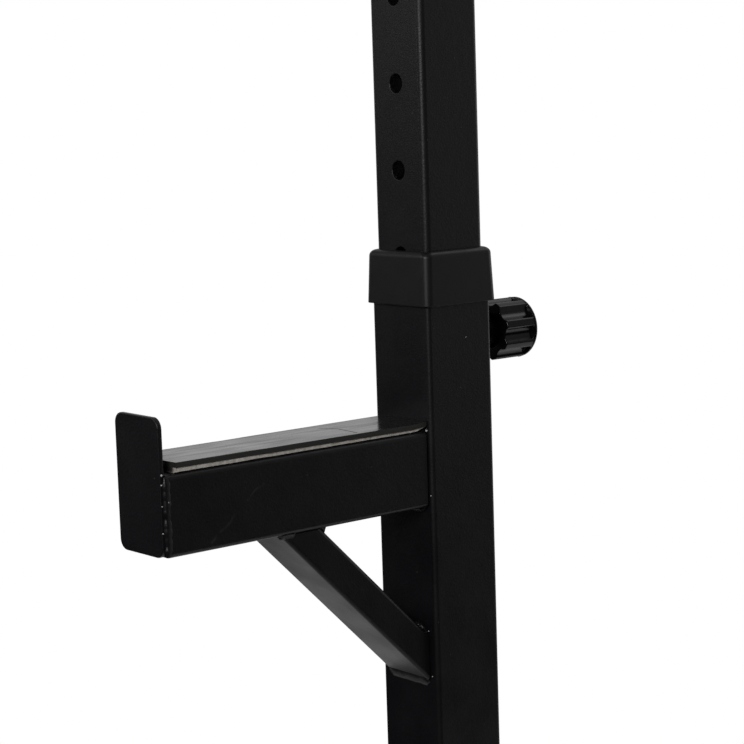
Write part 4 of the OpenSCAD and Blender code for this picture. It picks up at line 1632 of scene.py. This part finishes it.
@dataclass
class BarCradle:
    """The bent steel cradle that holds the bar, with its rubber liner."""

    back: float = 60.0
    seat: float = 1306.0
    width: float = 50.0
    plate: float = 5.0
    opening: float = 64.0
    front: float = 42.0
    rear: float = 88.0
    flare: float = 14.0
    bend: float = 8.0
    liner_thickness: float = 3.0
    liner_drop: float = 10.0
    liner_inset: float = 2.0
    post_size: float = 45.0
    post_corner: float = 4.0

    def u_shape(
        self, gap: float, thick: float, front: float, rear: float, bend: float, z: float,
        flare: float,
    ) -> list[Pair]:
        """Walks round the section of a strip bent to a U.

        Args:
            gap: Clear distance between the upstands.
            thick: Thickness of the strip.
            front: Height of the front upstand above the seat.
            rear: Height of the rear upstand.
            bend: Inside radius of the bends.
            z: Height of the seat's upper face.
            flare: Height of the outward bend at the front tip.

        Returns:
            The outline as pairs of y and z.
        """
        half = gap / 2

        def arc(r: float, side: int) -> list[Pair]:
            """One bend, from the upstand towards the seat."""
            centre = (side * (half - bend), bend)
            return [(centre[0] + side * r * math.cos(math.radians(a)),
                     centre[1] - r * math.sin(math.radians(a))) for a in range(0, 91, 9)]

        inner = [*arc(bend, -1), *reversed(arc(bend, 1))]
        outer = [*arc(bend + thick, -1), *reversed(arc(bend + thick, 1))]
        lean = flare / 2
        tip_in = [(-half - lean, front + flare)] if flare else []
        tip_out = [(-half - lean - thick, front + flare)] if flare else []
        walk = [*tip_in, (-half, front), *inner, (half, rear), (half + thick, rear),
                *reversed(outer), (-half - thick, front), *tip_out]
        return [(self.back + y, z + h) for y, h in walk]

    def build(self) -> None:
        """Makes the cradle, its liner and its two welds."""
        shape = self.u_shape(self.opening, self.plate, self.front, self.rear, self.bend,
                             self.seat, self.flare)
        make_piece("cradle_bent_plate", prism(shape, -self.width / 2, self.width / 2),
                   STEEL_COAT, Body.SLIDING_POST, ["bar_cradle"], edge=0.9)
        t, half = self.liner_thickness, self.width / 2 - self.liner_inset
        shape = self.u_shape(self.opening - 2 * t, t, self.front - self.liner_drop - t,
                             self.rear - self.liner_drop - t, self.bend - t, self.seat + t, 0.0)
        make_piece("cradle_rubber_liner", prism(shape, -half, half), SOFT_RUBBER,
                   Body.SLIDING_POST, ["cradle_liner"], edge=0.6)
        top, flat = self.seat - self.plate, self.post_size / 2 - self.post_corner
        beads = [Weld((-flat, self.back + y * self.post_size / 2, top),
                      (flat, self.back + y * self.post_size / 2, top), (0, y, 0), (0, 0, -1))
                 for y in (-1, 1)]
        make_piece("cradle_weld_beads", welded(beads), STEEL_COAT, Body.SLIDING_POST,
                   ["cradle_welds"])


# Studio


@dataclass(frozen=True)
class Lamp:
    """A soft box: where it stands, what it looks at, its size in metres and its power."""

    name: str
    place: Triple
    target: Triple
    size: Pair
    power: float

    def build(self) -> None:
        """Adds the lamp to the scene, unseen by the camera."""
        data = bpy.data.lights.new(self.name, "AREA")
        data.shape, data.size, data.size_y = "RECTANGLE", *self.size
        data.energy = self.power
        lamp = new_object(self.name, data)
        lamp.location = self.place
        aim = Vector(self.target) - Vector(self.place)
        lamp.rotation_mode = "QUATERNION"
        lamp.rotation_quaternion = aim.to_track_quat("-Z", "Y")
        lamp.visible_camera = False
        LOG.info("%s: %.0f W", self.name, self.power)


@dataclass
class Studio:
    """The white sweep, the soft boxes and the camera at the photograph's viewing angle."""

    camera_place: Triple = (0.91390, -0.74332, 0.99287)
    yaw: float = 50.398
    pitch: float = 7.5593
    roll: float = -1.8513
    lens: float = 99.659
    sensor: float = 36.0
    floor_radius: float = 1.7
    floor_drop: float = 0.0002
    floor_colour: str = "c4c4c4"
    floor_white_from: float = 0.5
    floor_glow: float = 0.62
    pool_place: Triple = (-0.3, 0.75, 0.0)
    pool_reach: Pair = (0.85, 1.2)
    pool_glow: float = 0.54
    floor_shine: float = 0.02
    wall_direction: Triple = (-0.5, 0.866, 0.0)
    wall_edge: Pair = (0.10, 0.75)
    wall_glow: float = 0.72
    wall_foot: Pair = (-0.30, -0.16)
    wall_top: Pair = (0.02, 0.3)
    wall_top_share: float = 0.45
    side_direction: Triple = (0.76, 0.65, 0.0)
    side_edge: Pair = (-0.3, 0.3)
    left_glow: float = 0.13
    left_rise: Pair = (-0.16, 0.0)
    right_glow: float = 0.10
    right_rise: Pair = (-0.27, -0.10)
    ambient: float = 0.07
    lamps: list[Lamp] = field(default_factory=lambda: [
        Lamp("soft_box_front", (0.85, -1.30, 1.45), (0.0, 0.03, 0.95), (0.5, 0.5), 9.0),
        Lamp("soft_box_left", (-0.75, -1.20, 1.50), (0.0, 0.02, 0.95), (0.7, 0.7), 2.4),
        Lamp("soft_box_back", (0.20, 0.85, 1.65), (0.0, 0.05, 0.90), (0.5, 0.5), 0.6),
    ])

    def build(self) -> None:
        """Sets up the floor, the world, the lamps, the camera and the colour view."""
        self.floor()
        self.world()
        for lamp in self.lamps:
            lamp.build()
        self.camera()
        bpy.context.scene.view_settings.view_transform = "Standard"

    def floor(self) -> None:
        """Makes the round white sweep. It stays white to the camera; in reflections it is dark, with
        a painted pool of light behind the stand and a faint even sheen.
        """
        rings = [[Vector((r * math.cos(a), r * math.sin(a), 0)) / MM for a in
                  np.linspace(0, 2 * math.pi, 96, endpoint=False)]
                 for r in (0.001, 0.4, 0.9, self.floor_radius)]
        form = Form().loft(rings)
        form.faces.pop()
        obj = new_object("studio_floor", form.mesh("studio_floor"))
        obj.location.z = -self.floor_drop
        made = bpy.data.materials.new("white_paper_sweep")
        made.use_nodes = True
        tree = made.node_tree
        tree.nodes.clear()
        path = add_node(tree, "ShaderNodeLightPath")
        place = add_node(tree, "ShaderNodeTexCoord").outputs["Object"]
        away = add_node(tree, "ShaderNodeVectorMath", {"operation": "LENGTH"}, {0: place})
        rise = add_node(tree, "ShaderNodeMapRange",
                        {1: self.floor_white_from, 2: self.floor_radius, 3: self.floor_glow,
                         4: 1.0},
                        {0: away.outputs["Value"]})
        beside = add_node(tree, "ShaderNodeVectorMath",
                          {"operation": "DISTANCE", 1: self.pool_place}, {0: place})
        # A painted pool of light on the paper, seen only in reflections
        pool = add_node(tree, "ShaderNodeMapRange",
                        {"interpolation_type": "SMOOTHSTEP", 1: self.pool_reach[0],
                         2: self.pool_reach[1], 3: self.pool_glow, 4: 0.0},
                        {0: beside.outputs["Value"]})
        mirrored = add_node(tree, "ShaderNodeMath", {"operation": "MAXIMUM"},
                            {0: path.outputs["Is Glossy Ray"],
                             1: path.outputs["Is Transmission Ray"]})
        shine = add_node(tree, "ShaderNodeMath", {"operation": "ADD", 1: self.floor_shine},
                         {0: pool.outputs[0]})
        gloss = add_node(tree, "ShaderNodeMath", {"operation": "MULTIPLY"},
                         {0: mirrored.outputs[0], 1: shine.outputs[0]})
        strength = add_node(tree, "ShaderNodeMath", {"operation": "MULTIPLY_ADD"},
                            {0: path.outputs["Is Camera Ray"], 1: rise.outputs[0],
                             2: gloss.outputs[0]})
        tone = add_node(tree, "ShaderNodeMix", {"data_type": "RGBA", 7: linear("000000"),
                                                6: linear(self.floor_colour)},
                        {0: mirrored.outputs[0]})
        paper = add_node(tree, "ShaderNodeBsdfDiffuse", links={"Color": tone.outputs[2]})
        glow = add_node(tree, "ShaderNodeEmission", links={"Strength": strength.outputs[0]})
        both = add_node(tree, "ShaderNodeAddShader",
                        links={0: paper.outputs[0], 1: glow.outputs[0]})
        add_node(tree, "ShaderNodeOutputMaterial", links={"Surface": both.outputs[0]})
        obj.data.materials.append(made)
        LOG.info("studio_floor: %.1f m across", 2 * self.floor_radius)

    def world(self) -> None:
        """Makes the backdrop: white to the camera, and in gloss a white wall in a dim room."""
        world = bpy.data.worlds.new("studio_backdrop")
        bpy.context.scene.world = world
        world.use_nodes = True
        tree = world.node_tree
        tree.nodes.clear()
        path = add_node(tree, "ShaderNodeLightPath")
        way = add_node(tree, "ShaderNodeTexCoord").outputs["Generated"]
        facing = add_node(tree, "ShaderNodeVectorMath",
                          {"operation": "DOT_PRODUCT", 1: self.wall_direction}, {0: way})
        height = add_node(tree, "ShaderNodeSeparateXYZ", links={0: way}).outputs["Z"]
        across = add_node(tree, "ShaderNodeVectorMath",
                          {"operation": "DOT_PRODUCT", 1: self.side_direction}, {0: way})
        wall, fade, foot, side, left, right = (
            add_node(tree, "ShaderNodeMapRange",
                     {"interpolation_type": "SMOOTHSTEP", 1: start, 2: end, 3: before, 4: after},
                     {0: value}).outputs[0]
            for value, (start, end), before, after in (
                (facing.outputs["Value"], self.wall_edge, 0.0, self.wall_glow),
                (height, self.wall_top, 1.0, self.wall_top_share),
                (height, self.wall_foot, 0.0, 1.0),
                (across.outputs["Value"], self.side_edge, 0.0, 1.0),
                (height, self.left_rise, 0.0, self.left_glow),
                (height, self.right_rise, 0.0, self.right_glow)))
        lower = add_node(tree, "ShaderNodeMath", {"operation": "MULTIPLY"}, {0: wall, 1: foot})
        backdrop = add_node(tree, "ShaderNodeMath", {"operation": "MULTIPLY"},
                            {0: lower.outputs[0], 1: fade})
        room = add_node(tree, "ShaderNodeMix", links={0: side, 2: left, 3: right})
        lit = add_node(tree, "ShaderNodeMath", {"operation": "ADD"},
                       {0: backdrop.outputs[0], 1: room.outputs[0]})
        gloss = add_node(tree, "ShaderNodeMath", {"operation": "MAXIMUM"},
                         {0: path.outputs["Is Glossy Ray"], 1: path.outputs["Is Transmission Ray"]})
        mirrored = add_node(tree, "ShaderNodeMix", {2: self.ambient},
                            {0: gloss.outputs[0], 3: lit.outputs[0]})
        seen = add_node(tree, "ShaderNodeMix", {3: 1.0},
                        {0: path.outputs["Is Camera Ray"], 2: mirrored.outputs[0]})
        back = add_node(tree, "ShaderNodeBackground", {"Color": linear("ffffff")},
                        {"Strength": seen.outputs[0]})
        add_node(tree, "ShaderNodeOutputWorld", links={"Surface": back.outputs[0]})

    def camera(self) -> None:
        """Places the camera at the photograph's viewpoint."""
        data = bpy.data.cameras.new("photo_camera")
        data.lens, data.sensor_width, data.sensor_fit = self.lens, self.sensor, "HORIZONTAL"
        data.clip_start, data.clip_end = 0.02, 60.0
        camera = new_object("photo_camera", data)
        yaw, pitch, roll = (math.radians(v) for v in (self.yaw, self.pitch, self.roll))
        forward = Vector((-math.sin(yaw) * math.cos(pitch), math.cos(yaw) * math.cos(pitch),
                          -math.sin(pitch)))
        level = Vector((math.cos(yaw), math.sin(yaw), 0))
        right = level * math.cos(roll) + level.cross(forward) * math.sin(roll)
        up = right.cross(forward)
        turn = Matrix((right, up, -forward)).transposed()
        camera.matrix_world = Matrix.Translation(self.camera_place) @ turn.to_4x4()
        bpy.context.scene.camera = camera


def main() -> None:
    """Builds the studio and every sub-assembly."""
    logging.basicConfig(level=logging.INFO, format="%(name)s: %(message)s")
    Studio().build()
    for assembly in (Base(), LowerPost(), SpotterArm(), Collar(), InnerPost(), PullPin(),
                     BarCradle()):
        LOG.info("building %s", type(assembly).__name__)
        assembly.build()


if __name__ == "__main__":
    main()
